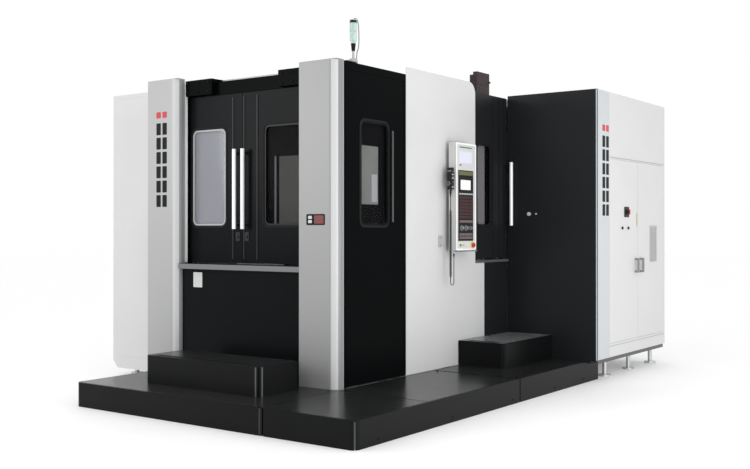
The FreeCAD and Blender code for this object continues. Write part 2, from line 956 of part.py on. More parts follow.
door_length = "(door_end - door_start) / 2"
for name, start, along in (
    ("cabinet_front_door", "door_start", cabinet_pivots[0]),
    ("cabinet_rear_door", "door_meet", cabinet_pivots[1]),
):
    sheet_metal = block(
        ("face_x - cabinet_door_thick", f"{start} + gap / 2", "cabinet_door_low + gap / 2"),
        ("cabinet_door_thick", f"{door_length} - gap", f"{door_height} - gap"),
    )
    pin = rod(
        "z",
        (cabinet_pivot_x, along, "cabinet_door_low - cabinet_pin_length + seat_gap"),
        "cabinet_pin_radius",
        f"{door_height} + 2 * cabinet_pin_length - 2 * seat_gap",
    )
    keep(name, join(sheet_metal, pin))
for name, start in (
    ("cabinet_front_pull", "(door_meet - pull_inset - pull_width)"),
    ("cabinet_rear_pull", "(door_meet + pull_inset)"),
):
    grip = block(("face_x", start, "pull_low"), ("pull_reach", "pull_width", "pull_height"))
    finger = block(
        ("face_x - 1", f"{start} - 1", "pull_low + 22"),
        ("pull_reach - 14", "pull_width + 2", "pull_height - 44"),
    )
    keep(name, cut(grip, finger))
switch_y = "door_start + switch_along / 2"
keep(
    "main_switch",
    turned(
        "x",
        ("face_x + seat_gap", switch_y, "switch_height"),
        [
            (0, 0),
            ("switch_radius", 0),
            ("switch_radius", 10),
            ("switch_radius * 0.6", 14),
            ("switch_radius * 0.6", 32),
            (0, 32),
        ],
    ),
)

# ---------------------------------------------------------------- covers, frame and roof
magazine_low = ("magazine_x", "pillar_y + magazine_setback", "floor_clear")
magazine_size = ("magazine_width - seat_gap", "magazine_depth", "machine_height - floor_clear")
magazine_floor = "(floor_clear + skin + magazine_chamfer)"
magazine_shell = doc.addObject("Part::Chamfer", "beveled")
magazine_shell.Base = block(magazine_low, magazine_size)
doc.recompute()
magazine_box = magazine_shell.Base.Shape.BoundBox
bevel = measure("magazine_chamfer")
magazine_shell.Edges = [
    (n, bevel, bevel)
    for n, edge in enumerate(magazine_shell.Base.Shape.Edges, start=1)
    if edge.BoundBox.YLength > 1
    and abs(edge.BoundBox.XMin - magazine_box.XMin) < 1
    and abs(edge.BoundBox.ZMin - magazine_box.ZMin) < 1
]
disc_x = "(magazine_x + disc_axis_inset)"
disc_y = "(pillar_y + disc_along)"
disc_z = "(spindle_height - 100)"
keep(
    "magazine_cover",
    cut(
        join(
            cut(
                magazine_shell,
                block(
                    ("magazine_x + skin", "pillar_y + magazine_setback + skin", magazine_floor),
                    (
                        "magazine_width - seat_gap - 2 * skin",
                        "magazine_depth - 2 * skin",
                        f"machine_height - skin - {magazine_floor}",
                    ),
                ),
            ),
            block(
                (f"{disc_x} - 90", f"{disc_y} + 140", f"{magazine_floor} - 1"),
                (180, 180, f"{disc_z} + 120 - {magazine_floor}"),
            ),
        ),
        block(
            ("left_x - skin - 2", "pillar_y + magazine_setback + 900", "magazine_opening_low"),
            ("skin + 3", "magazine_depth - 1000", "magazine_opening_high - magazine_opening_low"),
        ),
        rod("y", (disc_x, f"{disc_y} + 60", disc_z), "40 + shaft_gap", 300),
    ),
)
rear_start = "(pillar_y + magazine_setback + magazine_depth + seat_gap)"
frame_head = "(roof_top - roof_thick)"
bed_end = "(pillar_y + bed_rear_start + bed_rear_length)"
post_ys = ("(white_y - 2 * gap - frame_post)", "(operator_end - frame_post)")
frame = [
    block(("left_x", "rear_y - skin", 0), ("enclosure_width - seat_gap", "skin", frame_head)),
    block(("left_x", rear_start, 0), ("skin", f"rear_y - {rear_start}", frame_head)),
    block(
        ("frame_x", post_ys[0], f"{frame_head} - frame_post"),
        ("frame_post", f"rear_y - skin + 1 - {post_ys[0]}", "frame_post"),
    ),
]
frame += [block(("frame_x", y, 0), ("frame_post", "frame_post", frame_head)) for y in post_ys]
lug_y = "(side_door_y + pivot_inset - frame_post / 2)"
lug_reach = ("frame_post / 2 + side_x - door_thick / 2 - frame_x", "frame_post")
frame += [
    block(
        ("frame_x", "side_door_y + 2 * frame_post", 0),
        ("frame_post / 2", "frame_post / 2", "side_door_head + seat_gap + 1"),
    ),
    *[
        block(("frame_x", lug_y, z), (lug_reach[0], "frame_post * 2.5", "lug_thick"))
        for z in ("side_door_head + seat_gap", "side_door_low - seat_gap - lug_thick")
    ],
    block(
        ("frame_x", "side_door_y + 2 * frame_post", f"{frame_head} - frame_post"),
        ("frame_post / 2", f"{post_ys[0]} + 1 - side_door_y - 2 * frame_post", "frame_post"),
    ),
    block(
        ("frame_x", "wall_y", 400),
        ("side_x - seat_gap - frame_x", "frame_post", "frame_post"),
    ),
    block(
        ("frame_x", "operator_end - 1", 400),
        ("frame_post", "wall_y - operator_end + 2", "frame_post"),
    ),
    block(
        ("axis_x - bed_front_width / 2", f"{bed_end} + seat_gap", "bed_top - 2 * skin"),
        ("bed_front_width", f"rear_y - skin + 1 - {bed_end} - seat_gap", "skin"),
    ),
]
keep(
    "enclosure_frame",
    cut(
        join(*frame),
        rod(
            "z",
            (*side_pivot, "side_door_low - 2 * lug_thick"),
            "pivot_radius + shaft_gap",
            "side_door_head - side_door_low + 4 * lug_thick",
        ),
    ),
)
roof_y = "(pillar_y + hinge_box_front + hinge_box_depth + seat_gap)"
keep(
    "roof_panel",
    cut(
        block(
            ("left_x", roof_y, frame_head),
            ("roof_x - left_x", f"rear_y - {roof_y}", "roof_thick"),
        ),
        block(
            ("frame_x - seat_gap", "side_door_y + 2 * frame_post - seat_gap", f"{frame_head} - 1"),
            ("frame_post / 2 + 2 * seat_gap", "frame_post / 2 + 2 * seat_gap", "roof_thick + 2"),
        ),
    ),
)
keep(
    "roof_motor",
    join(
        block(
            ("side_x - blower_inset", "pillar_y + blower_along", "roof_top"),
            ("blower_width", "blower_length", "blower_height"),
        ),
        block(
            (
                "side_x - blower_inset - blower_head",
                "pillar_y + blower_along - 4",
                "roof_top + blower_head_low",
            ),
            ("blower_width + blower_head + 4", "blower_length - 30", "blower_head_high - blower_head_low"),
        ),
        block(
            ("side_x - blower_inset - 40", "pillar_y + blower_along - 40", "roof_top"),
            ("blower_width + 80", "blower_length + 80", "30"),
        ),
    ),
)
lamp_x = "side_x - lamp_inset"
lamp_y = "side_door_y + lamp_along"
keep(
    "lamp_base",
    turned(
        "z",
        (lamp_x, lamp_y, "roof_top"),
        [
            (0, 0),
            ("lamp_base_radius", 0),
            ("lamp_base_radius", 70),
            ("lamp_stem", 84),
            ("lamp_stem", "lamp_lens_low - roof_top"),
            (0, "lamp_lens_low - roof_top"),
        ],
    ),
)
keep(
    "lamp_lens",
    turned(
        "z",
        (lamp_x, lamp_y, "lamp_lens_low"),
        [
            (0, 0),
            ("lamp_stem + 4", 0),
            ("lamp_radius - 8", "lamp_lens_mid - lamp_lens_low"),
            ("lamp_radius", "lamp_lens_mid - lamp_lens_low"),
            ("lamp_radius", "lamp_lens_high - lamp_lens_low - 14"),
            ("lamp_radius - 12", "lamp_lens_high - lamp_lens_low"),
            (0, "lamp_lens_high - lamp_lens_low"),
        ],
    ),
)

# ---------------------------------------------------------------- operator's panel
knuckle_lows = ("panel_low + knuckle_low", "panel_low + knuckle_high")
knuckle_y = "(panel_pivot_y - knuckle_half)"
arm_blocks = [
    block(("side_x", knuckle_y, z), ("panel_standoff / 2 + 10", "2 * knuckle_half", "knuckle_height"))
    for z in knuckle_lows
]
panel_blocks = [
    block(
        ("panel_pivot_x - 10", knuckle_y, f"{z} + knuckle_height + seat_gap"),
        ("panel_standoff / 2 + 11", "2 * knuckle_half", "knuckle_height / 2"),
    )
    for z in knuckle_lows
]
hinge_pins = [
    rod("z", ("panel_pivot_x", "panel_pivot_y", f"{z} + 1"), "hinge_pin_radius", "knuckle_height * 1.5 - 2")
    for z in knuckle_lows
]
keep("panel_arm", join(*arm_blocks, *hinge_pins))
screen_y = "(panel_start + (panel_width - screen_width) / 2)"
stop_y = "panel_end - 70"
stop_bore = "stop_radius / 2 + shaft_gap"
hinge_bore = "hinge_pin_radius + shaft_gap"
pendant_x = "(panel_x + 24)"
pendant_y = "(panel_start - pendant_gap - pendant_depth)"
cord_x = f"({pendant_x} + pendant_width / 2)"
cord_y = f"({pendant_y} + pendant_depth / 2)"
cord_back_y = f"({cord_y} + 2 * curl_turn)"
keep(
    "control_panel",
    cut(
        join(
            block(("panel_x", "panel_start", "panel_low"), ("panel_depth", "panel_width", "panel_height")),
            *panel_blocks,
            rod("z", (cord_x, cord_back_y, "panel_low - 30"), 12, 31),
        ),
        block(("panel_face - 12", screen_y, "screen_low"), (13, "screen_width", "screen_height")),
        rod("x", ("panel_face - stop_reach", stop_y, "stop_height"), stop_bore, "stop_reach + 1"),
        *[
            rod("z", ("panel_pivot_x", "panel_pivot_y", z), hinge_bore, "knuckle_height * 2")
            for z in knuckle_lows
        ],
    ),
)
keep(
    "control_screen",
    block(
        ("panel_face - 12 + seat_gap", f"{screen_y} + seat_gap", "screen_low + seat_gap"),
        (8, "screen_width - 2 * seat_gap", "screen_height - 2 * seat_gap"),
    ),
)
keep(
    "e_stop",
    turned(
        "x",
        ("panel_face - stop_reach + 8", stop_y, "stop_height"),
        [
            (0, 0),
            ("stop_radius / 2", 0),
            ("stop_radius / 2", "stop_reach"),
            ("stop_radius", "stop_reach"),
            ("stop_radius", "stop_reach + 16"),
            ("stop_radius - 6", "stop_reach + 22"),
            (0, "stop_reach + 22"),
        ],
    ),
)
wheel_z = "pendant_low + 62"
keep(
    "pendant",
    join(
        block((pendant_x, pendant_y, "pendant_low"), ("pendant_width", "pendant_depth", "pendant_height")),
        block(
            (f"{pendant_x} + 10", f"{pendant_y} + pendant_depth - 1", "pendant_low + 120"),
            ("pendant_width - 20", "pendant_gap + 1", 60),
        ),
        rod("z", (cord_x, cord_y, "pendant_low - 40"), 12, 41),
        rod("y", (cord_x, f"{pendant_y} - 14", wheel_z), 6, 15),
    ),
)
keep(
    "pendant_wheel",
    cut(
        rod("y", (cord_x, f"{pendant_y} - seat_gap - wheel_thick", wheel_z), "wheel_radius", "wheel_thick"),
        rod("y", (cord_x, f"{pendant_y} - 14 - seat_gap", wheel_z), "6 + shaft_gap", 16),
    ),
)


def curly_cord():
    """The coiled lead's outer shape: down from the hand unit, round and up to the panel."""
    x, y, top = measure(cord_x), measure(cord_y), measure("pendant_low") - 40
    back, end = measure(cord_back_y), measure("panel_low") - 30
    turn, low, radius = measure("curl_turn"), measure("curl_low"), measure("curl_radius")
    vector = FreeCAD.Vector
    down = Part.LineSegment(vector(x, y, top), vector(x, y, low + turn))
    bend = Part.Arc(vector(x, y, low + turn), vector(x, y + turn, low), vector(x, back, low + turn))
    rise = Part.LineSegment(vector(x, back, low + turn), vector(x, back, end))
    path = Part.Wire([down.toShape(), bend.toShape(), rise.toShape()])
    section = Part.Wire(Part.Circle(vector(x, y, top), vector(0, 0, -1), radius).toShape())
    tube = path.makePipeShell([section], True, False)
    share = tube.Volume / (math.pi * radius**2 * path.Length)
    print(f"curly cord: path {path.Length:.1f} mm, volume share {share:.4f}, bend radius {turn:.0f} mm")
    thing = doc.addObject("Part::Feature", "pendant_cord")
    thing.Shape = tube
    thing.Placement = FreeCAD.Placement()
    return thing


keep("pendant_cord", curly_cord())

# ---------------------------------------------------------------- bed, table and changer
post_x = "(left_x + arm_axis_inset)"
arm_y = "(pillar_y + arm_along)"
stand_low = (f"{post_x} - 90", f"{arm_y} + 160", "bed_low")
keep(
    "bed",
    cut(
        join(
            block(
                ("axis_x - bed_front_width / 2", "pillar_y + bed_front_start", "bed_low"),
                ("bed_front_width", "bed_rear_start - bed_front_start + 1", "bed_top - bed_low"),
            ),
            block(
                ("axis_x - bed_rear_width / 2", "pillar_y + bed_rear_start", "bed_low"),
                ("bed_rear_width", "bed_rear_length", "bed_top + 100 - bed_low"),
            ),
            rod("z", ("axis_x", "setup_y", "bed_top - 1"), 170, "table_top - bed_top + 1"),
            block(stand_low, (180, 180, "spindle_height + 120 - bed_low")),
            block(stand_low, (900, 180, 300)),
        ),
        rod("z", ("axis_x", "exchange_y", "bed_top - post_bore"), "post_radius + shaft_gap", "post_bore + 1"),
        rod("y", (post_x, f"{arm_y} + 60", "spindle_height"), "40 + shaft_gap", 300),
    ),
)
table_ways = [
    block(
        (f"axis_x {side} rail_spread - rail_width / 2", "exchange_y + 300", "bed_top"),
        ("rail_width", "bed_rear_start - exchange_centre - 300", "rail_height"),
    )
    for side in "-+"
]
column_ways = [
    block(
        ("axis_x - bed_rear_width / 2 + 40", f"column_y + {along}", "bed_top + 100"),
        ("bed_rear_width - 80", "rail_width", "rail_height"),
    )
    for along in ("120", "column_length - 180")
]
keep("guide_rails", group(*table_ways, *column_ways))
saddle_y = "(work_y - saddle_length / 2)"
skirt_x = "rail_spread - rail_width / 2 - saddle_skirt"
skirts = [
    block(
        (f"axis_x {side} {skirt_x} + {shift}", saddle_y, "bed_top + seat_gap"),
        ("saddle_skirt - seat_gap", "saddle_length", "rail_height + 1"),
    )
    for side in "-+"
    for shift in ("0", "rail_width + saddle_skirt + seat_gap")
]
keep(
    "table_saddle",
    cut(
        join(
            block(
                ("axis_x - saddle_width / 2", saddle_y, "saddle_low"),
                ("saddle_width", "saddle_length", "saddle_height"),
            ),
            *skirts,
        ),
        rod(
            "z",
            ("axis_x", "work_y", "table_low - table_spigot_depth"),
            "table_spigot + shaft_gap",
            "table_spigot_depth + 1",
        ),
    ),
)
keep(
    "rotary_table",
    turned(
        "z",
        ("axis_x", "work_y", "table_low"),
        [
            (0, "2 * seat_gap - table_spigot_depth"),
            ("table_spigot", "2 * seat_gap - table_spigot_depth"),
            ("table_spigot", 0),
            ("table_radius", 0),
            ("table_radius", "table_height - 15"),
            ("table_radius - 15", "table_height"),
            (0, "table_height"),
        ],
    ),
)
hole_low = "pallet_low + pallet_thick - pallet_hole_depth"
for name, centre in (("setup_pallet", "setup_y"), ("machine_pallet", "work_y")):
    slab = block(
        ("axis_x - pallet_size / 2", f"{centre} - pallet_size / 2", "pallet_low"),
        ("pallet_size", "pallet_size", "pallet_thick"),
    )
    holes = [
        rod(
            "z",
            (f"axis_x {a} pallet_hole_pitch", f"{centre} {b} pallet_hole_pitch", hole_low),
            "pallet_hole_radius",
            "pallet_hole_depth + 1",
        )
        for a in "-+"
        for b in "-+"
    ]
    keep(name, cut(slab, *holes))
fork_low = "(pallet_low - fork_height)"
fork_length = "(exchange_pitch + pallet_size - 60)"
keep(
    "apc_post",
    rod("z", ("axis_x", "exchange_y", "bed_top - post_depth"), "post_radius", "post_depth + post_height"),
)
forks = [
    block(
        (
            f"axis_x {side} (fork_inner + fork_width / 2) - fork_width / 2",
            f"exchange_y - {fork_length} / 2",
            fork_low,
        ),
        ("fork_width", fork_length, "fork_height"),
    )
    for side in "-+"
]
keep(
    "apc_arm",
    join(
        block(
            ("axis_x - fork_inner - fork_width", "exchange_y - 120", fork_low),
            ("2 * fork_inner + 2 * fork_width", 240, "fork_height"),
        ),
        *forks,
        block(
            ("axis_x - divider_width / 2", "exchange_y - divider_thick / 2", "pallet_low - 1"),
            ("divider_width", "divider_thick", "divider_height"),
        ),
        rod(
            "z",
            ("axis_x", "exchange_y", "bed_top + post_height + seat_gap"),
            110,
            f"{fork_low} - bed_top - post_height",
        ),
    ),
)

# ---------------------------------------------------------------- column and spindle
head_y = "(column_y - head_reach)"
spindle_bore = "spindle_radius + shaft_gap"
keep(
    "column",
    cut(
        block(
            ("axis_x - column_width / 2", "column_y", "column_low"),
            ("column_width", "column_length", "column_height"),
        ),
        block(
            ("axis_x - column_window / 2", "column_y - 1", "column_low + column_beam"),
            ("column_window", "column_length + 2", "column_height - 2 * column_beam"),
        ),
    ),
)
keep(
    "spindle_head",
    cut(
        block(
            ("axis_x - column_window / 2 + seat_gap", head_y, "spindle_height - head_height / 2"),
            ("column_window - 2 * seat_gap", "head_length", "head_height"),
        ),
        rod("y", ("axis_x", f"{head_y} - 1", "spindle_height"), spindle_bore, "spindle_depth + 1"),
    ),
)
keep(
    "spindle",
    turned(
        "y",
        ("axis_x", f"{head_y} - spindle_nose", "spindle_height"),
        [
            ("taper_radius", 0),
            ("spindle_radius - 20", 0),
            ("spindle_radius - 20", "spindle_nose / 2"),
            ("spindle_radius", "spindle_nose / 2"),
            ("spindle_radius", "spindle_nose + spindle_depth - gap"),
            (0, "spindle_nose + spindle_depth - gap"),
            (0, "taper_depth"),
            ("taper_radius - taper_depth * 7 / 48", "taper_depth"),
        ],
    ),
)


# ---------------------------------------------------------------- tool magazine and arm
def tool_disc():
    """A wheel with a ring of tool pots and a stub shaft behind it."""
    vector = FreeCAD.Vector
    body = doc.addObject("PartDesign::Body", "disc")
    section = sketch(
        body,
        [
            (0, 0),
            ("disc_radius", 0),
            ("disc_radius", "disc_thick"),
            (40, "disc_thick"),
            (40, "disc_thick + 300"),
            (0, "disc_thick + 300"),
        ],
    )
    wheel = body.newObject("PartDesign::Revolution", "wheel")
    wheel.Profile = section
    wheel.ReferenceAxis = (section, ["V_Axis"])
    wheel.Angle = 360
    pot = body.newObject("Sketcher::SketchObject", "pot")
    plane = next(f for f in body.Origin.OriginFeatures if f.Role == "XZ_Plane")
    pot.AttachmentSupport = [(plane, "")]
    pot.MapMode = "FlatFace"
    across, radius = "disc_radius - pocket_inset", "pocket_radius"
    pot.addGeometry(Part.Circle(vector(measure(across), 0, 0), vector(0, 0, 1), measure(radius)), False)
    size = pot.addConstraint(Sketcher.Constraint("Radius", 0, measure(radius)))
    pot.setExpression(f"Constraints[{size}]", formula(radius))
    place = pot.addConstraint(Sketcher.Constraint("DistanceX", -1, 1, 0, 3, measure(across)))
    pot.setExpression(f"Constraints[{place}]", formula(across))
    pot.addConstraint(Sketcher.Constraint("PointOnObject", 0, 3, -1))
    doc.recompute()
    hole = body.newObject("PartDesign::Pocket", "pot_hole")
    hole.Profile = pot
    hole.Type = "ThroughAll"
    hole.Midplane = True
    doc.recompute()
    ring = body.newObject("PartDesign::PolarPattern", "pots")
    ring.Originals = [hole]
    ring.Axis = (section, ["V_Axis"])
    ring.Angle = 360
    bind(ring, Occurrences="pocket_count")
    body.Tip = ring
    doc.recompute()
    return put(body, disc_x, disc_y, disc_z)


keep("tool_disc", tool_disc())
arm_ends = ("spindle_height + arm_half", "spindle_height - arm_half")
keep(
    "atc_arm",
    cut(
        join(
            block(
                (f"{post_x} - arm_width / 2", arm_y, "spindle_height - arm_half"),
                ("arm_width", "arm_thick", "2 * arm_half"),
            ),
            *[rod("y", (post_x, arm_y, z), "arm_width / 2", "arm_thick") for z in arm_ends],
            rod("y", (post_x, f"{arm_y} + arm_thick - 1", "spindle_height"), 40, 300),
        ),
        *[rod("y", (post_x, f"{arm_y} - 1", z), "pocket_radius", "arm_thick + 2") for z in arm_ends],
    ),
)


# ---------------------------------------------------------------- feet
def foot(x, y, top):
    return join(
        rod("z", (x, y, 0), "foot_radius", "foot_plate"),
        rod("z", (x, y, "foot_plate - 1"), "foot_stem", f"{top} - foot_plate + 1"),
    )


feet = [
    foot(f"axis_x {side} (bed_front_width / 2 - 120)", f"pillar_y + bed_front_start + {along}", "bed_low")
    for side in "-+"
    for along in (260, 1560, 2860)
]
feet += [
    foot(
        f"axis_x {side} (bed_rear_width / 2 - 120)",
        f"pillar_y + bed_rear_start + bed_rear_length - {along}",
        "bed_low",
    )
    for side in "-+"
    for along in (160, 1040)
]
feet += [
    foot(f"side_x + {across}", f"rear_y - {along}", "cabinet_base")
    for across in ("160", "cabinet_breadth - 140")
    for along in (140, 850, 1560)
]
feet += [
    foot(f"magazine_x + {across}", f"pillar_y + magazine_setback + {along}", "floor_clear")
    for across in ("180", "magazine_width - 240")
    for along in ("200", "magazine_depth - 200")
]
keep("leveling_feet", group(*feet))

# ---------------------------------------------------------------- check and write
doc.recompute()
for thing in doc.Objects:
    if "Invalid" in thing.State or "Error" in thing.State:
        raise ValueError(f"{thing.Label} of {[user.Label for user in thing.InList]} failed")
for name, thing in pieces.items():
    if thing.Shape.isNull() or not thing.Shape.isValid():
        raise ValueError(f"{name} has no valid shape")
os.makedirs("parts", exist_ok=True)
for name, thing in pieces.items():
    thing.Shape.exportStep(f"parts/{name}.step")
    print(f"{name}: {len(thing.Shape.Solids)} solids, {thing.Shape.Volume / 1e6:.1f} litres")
print(len(pieces), "pieces written")
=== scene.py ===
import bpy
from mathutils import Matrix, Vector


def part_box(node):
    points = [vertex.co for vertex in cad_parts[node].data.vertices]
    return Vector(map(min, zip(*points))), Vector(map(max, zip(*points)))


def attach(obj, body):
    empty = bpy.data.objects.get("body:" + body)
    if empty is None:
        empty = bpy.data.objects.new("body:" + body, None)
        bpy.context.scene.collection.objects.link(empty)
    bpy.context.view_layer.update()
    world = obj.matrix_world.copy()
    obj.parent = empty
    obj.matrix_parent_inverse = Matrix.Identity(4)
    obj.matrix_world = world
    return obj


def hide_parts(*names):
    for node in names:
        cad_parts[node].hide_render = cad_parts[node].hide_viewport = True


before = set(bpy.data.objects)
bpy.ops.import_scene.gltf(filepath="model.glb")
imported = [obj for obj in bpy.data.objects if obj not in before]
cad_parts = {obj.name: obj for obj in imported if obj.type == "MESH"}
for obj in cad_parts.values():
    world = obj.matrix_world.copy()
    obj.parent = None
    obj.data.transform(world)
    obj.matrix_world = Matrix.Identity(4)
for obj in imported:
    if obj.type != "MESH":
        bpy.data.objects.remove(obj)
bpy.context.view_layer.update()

import math
import bmesh
import bpy
from mathutils import Vector

# Looks of a horizontal machining centre.  Metres, in the model's own frame: +X to the
# operator's side, +Y to the back, +Z up.  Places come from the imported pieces' boxes, and a
# few heights are given from the floor.


def low(node):
    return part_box(node)[0]


def high(node):
    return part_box(node)[1]


# ---------------------------------------------------------------- camera
CAMERA_PLACE = (6.775, -9.1535, 1.660)
CAMERA_AZIMUTH = 35.85
CAMERA_PITCH = 0.16
CAMERA_LENS = 47.99
CAMERA_SHIFT = -0.0097

camera = bpy.data.objects.new("camera", bpy.data.cameras.new("camera"))
bpy.context.collection.objects.link(camera)
bpy.context.scene.camera = camera
camera.location = CAMERA_PLACE
camera.rotation_euler = (math.radians(90 + CAMERA_PITCH), 0, math.radians(CAMERA_AZIMUTH))
camera.data.lens = CAMERA_LENS
camera.data.shift_y = CAMERA_SHIFT

# ---------------------------------------------------------------- materials
# Painted shade: some finishes grey towards this colour near the floor, fading out at this height.
FLOOR_SHADE_COLOUR = (0.30, 0.31, 0.32)
FLOOR_SHADE_HEIGHT = 1.4
DARK_COLOUR = (0.008, 0.008, 0.009)
ROUGH_SPREAD = 0.18


def surface(
    name, colour, rough, metal=0.0, tint=0.06, cloud=1.5, stretch=(1, 1, 1), bump=0.04,
    grain=260.0, floor_shade=0.0, beyond=None, **more
):
    """A finish whose colour, roughness and relief all vary a little over the surface.

    floor_shade is painted shade that greys it towards the floor, and beyond is the X past which it is
    near-black.
    """
    material = bpy.data.materials.new(name)
    material.use_nodes = True
    nodes, links = material.node_tree.nodes, material.node_tree.links
    shader = nodes["Principled BSDF"]
    shader.inputs["Metallic"].default_value = metal
    for socket, value in more.items():
        shader.inputs[socket.replace("_", " ")].default_value = value

    def node(kind, **values):
        made = nodes.new("ShaderNode" + kind)
        for socket, value in values.items():
            made.inputs[socket.replace("_", " ")].default_value = value
        return made

    def blended(factor, first, second):
        """A colour between two, each of them a plain colour or a socket."""
        mix = node("Mix")
        mix.data_type = "RGBA"
        links.new(factor, mix.inputs["Factor"])
        for socket, tone in (("A", first), ("B", second)):
            if isinstance(tone, tuple):
                mix.inputs[socket].default_value = (*tone, 1)
            else:
                links.new(tone, mix.inputs[socket])
        return mix.outputs["Result"]

    where = node("TexCoord").outputs["Object"]
    mapping = node("Mapping", Scale=stretch)
    links.new(where, mapping.inputs["Vector"])
    clouds = node("TexNoise", Scale=cloud, Detail=5)
    grains = node("TexNoise", Scale=grain, Detail=2)
    for noise in (clouds, grains):
        links.new(mapping.outputs["Vector"], noise.inputs["Vector"])
    darker = tuple(c * (1 - tint) for c in colour)
    lighter = tuple(min(1, c * (1 + tint)) for c in colour)
    tone = blended(clouds.outputs["Fac"], darker, lighter)
    if floor_shade or beyond:
        split = node("SeparateXYZ")
        links.new(where, split.inputs["Vector"])
    # Painted shade: greys the colour towards the floor.
    if floor_shade:
        fade = node("MapRange", From_Max=FLOOR_SHADE_HEIGHT, To_Min=floor_shade, To_Max=0)
        links.new(split.outputs["Z"], fade.inputs["Value"])
        tone = blended(fade.outputs["Result"], tone, FLOOR_SHADE_COLOUR)
    if beyond:
        outer = node("Math")
        outer.operation = "GREATER_THAN"
        outer.inputs[1].default_value = beyond
        links.new(split.outputs["X"], outer.inputs[0])
        tone = blended(outer.outputs["Value"], tone, DARK_COLOUR)
    links.new(tone, shader.inputs["Base Color"])
    rougher = min(1, rough * (1 + ROUGH_SPREAD))
    spread = node("MapRange", To_Min=rough * (1 - ROUGH_SPREAD), To_Max=rougher)
    links.new(clouds.outputs["Fac"], spread.inputs["Value"])
    links.new(spread.outputs["Result"], shader.inputs["Roughness"])
    relief = node("Bump", Strength=bump, Distance=0.001)
    links.new(grains.outputs["Fac"], relief.inputs["Height"])
    links.new(relief.outputs["Normal"], shader.inputs["Normal"])
    return material


def gloss(name, colour, rough, level, bump=0.02):
    """Dark enamel, with level for how much it mirrors."""
    return surface(name, colour, rough, tint=0.2, bump=bump, Specular_IOR_Level=level)


def brushed(name, colour, rough=0.42, metal=0.12, floor_shade=0.0):
    """Silver paint with a fine upright grain."""
    return surface(name, colour, rough, metal, stretch=(1, 1, 0.15), grain=420.0, floor_shade=floor_shade)


def pane(name, colour, alpha, **more):
    return surface(name, colour, 0.06, tint=0.08, bump=0.0, Alpha=alpha, **more)


def tread_paint(name, colour, rough, level, bump=0.12, grain=220.0):
    return surface(
        name, colour, rough, tint=0.25, bump=bump, grain=grain, cloud=2.5, Specular_IOR_Level=level
    )


white = surface("white_paint", (0.575, 0.58, 0.575), 0.42, floor_shade=0.02, Coat_Weight=0.05)
frame_white = surface(
    "frame_paint", (0.60, 0.605, 0.60), 0.42, beyond=high("side_door").x - 0.03
)
bright_white = surface("bright_white_paint", (0.82, 0.825, 0.82), 0.38)
edge_white = surface("edge_white_paint", (0.48, 0.505, 0.52), 0.36, floor_shade=0.05)
silver = brushed("silver_paint", (0.375, 0.375, 0.377), floor_shade=0.15)
# Painted highlight and painted shade: a bright band and a grey band for the light on the pillars'
# rounded corners.
painted_highlight_band = brushed("painted_highlight_band", (0.56, 0.565, 0.57), 0.34, 0.1)
# Painted shade: the right pillar's silver is a darker copy of the left pillar's silver.
shaded_right_silver = brushed("right_silver_painted_shade", (0.315, 0.315, 0.318), floor_shade=0.25)
silver_painted_shade = brushed("silver_painted_shade", (0.215, 0.218, 0.222), metal=0.1)
sill_silver = surface(
    "sill_silver", (0.155, 0.16, 0.165), 0.34, metal=0.5, stretch=(0.1, 0.1, 1), grain=500.0
)
black = gloss("black_gloss", (0.0046, 0.0054, 0.0060), 0.28, 0.05)
# Painted shade: a darker copy of the black gloss for the side door and the header.
side_black_painted_shade = gloss("side_black_painted_shade", (0.0016, 0.0020, 0.0022), 0.30, 0.02)
# Painted light: a lighter copy of the black gloss for the side wall, the operator's door and the panel
# below it, which stand in shade.
wall_black_painted_light = gloss("wall_black_painted_light", (0.0115, 0.0128, 0.0138), 0.34, 0.14)
dark_fold = gloss("dark_fold", (0.012, 0.013, 0.015), 0.34, 0.2, bump=0.03)
black_satin = gloss("black_satin", (0.0075, 0.008, 0.009), 0.45, 0.10, bump=0.06)
# Painted highlight: a lighter grey for the strips on the platform's rounded corners.
painted_highlight_grey = gloss("painted_highlight_grey", (0.085, 0.087, 0.09), 0.3, 0.4, bump=0.04)
platform = tread_paint("platform_paint", (0.0055, 0.0058, 0.0062), 0.32, 0.09, 0.10, 180.0)
# Painted reflection: the side step's tread is a much lighter copy of the tread paint for the sheen on
# its top.
step_tread_painted_reflection = tread_paint("step_tread_painted_reflection", (0.150, 0.158, 0.166), 0.26, 0.3)
tread = tread_paint("tread_paint", (0.017, 0.0175, 0.018), 0.25, 0.22)
glass = pane("window_glass", (0.010, 0.010, 0.012), 0.12, Specular_IOR_Level=0.05)
# Painted reflection: a paler, more opaque copy of the window glass for the bright glare on the left
# window.
glass_painted_reflection = pane("glass_painted_reflection", (0.40, 0.41, 0.45), 0.35)
# Painted shade: a near-black sheet behind the glass for the dark inside seen through the windows.
painted_shade_lining = surface(
    "painted_window_view", (0.0030, 0.0032, 0.0034), 0.5, tint=0.3, cloud=3.0, Specular_IOR_Level=0.02
)
# Painted light: lighter sheets behind the glass for the lit walls seen through the windows.
pale_painted_light = surface(
    "pale_painted_light", (0.24, 0.255, 0.285), 0.5, tint=0.22, cloud=1.6, stretch=(1, 1, 0.35)
)
olive_painted_light = surface(
    "olive_painted_light", (0.034, 0.034, 0.030), 0.5, tint=0.25, cloud=3.0, stretch=(1, 1, 0.2)
)
violet_painted_light = surface(
    "violet_painted_light", (0.230, 0.222, 0.245), 0.5, tint=0.3, cloud=3.0, stretch=(1, 1, 0.15)
)
painted_light_patch = surface("painted_light_patch_sheet", (0.20, 0.21, 0.20), 0.5, tint=0.3, cloud=6.0)
seal = surface("seal_rubber", (0.009, 0.009, 0.010), 0.65, bump=0.2, Specular_IOR_Level=0.15)
bright = surface(
    "bright_bar", (0.90, 0.91, 0.92), 0.24, metal=0.15, tint=0.03, stretch=(1, 1, 0.1), grain=600.0
)
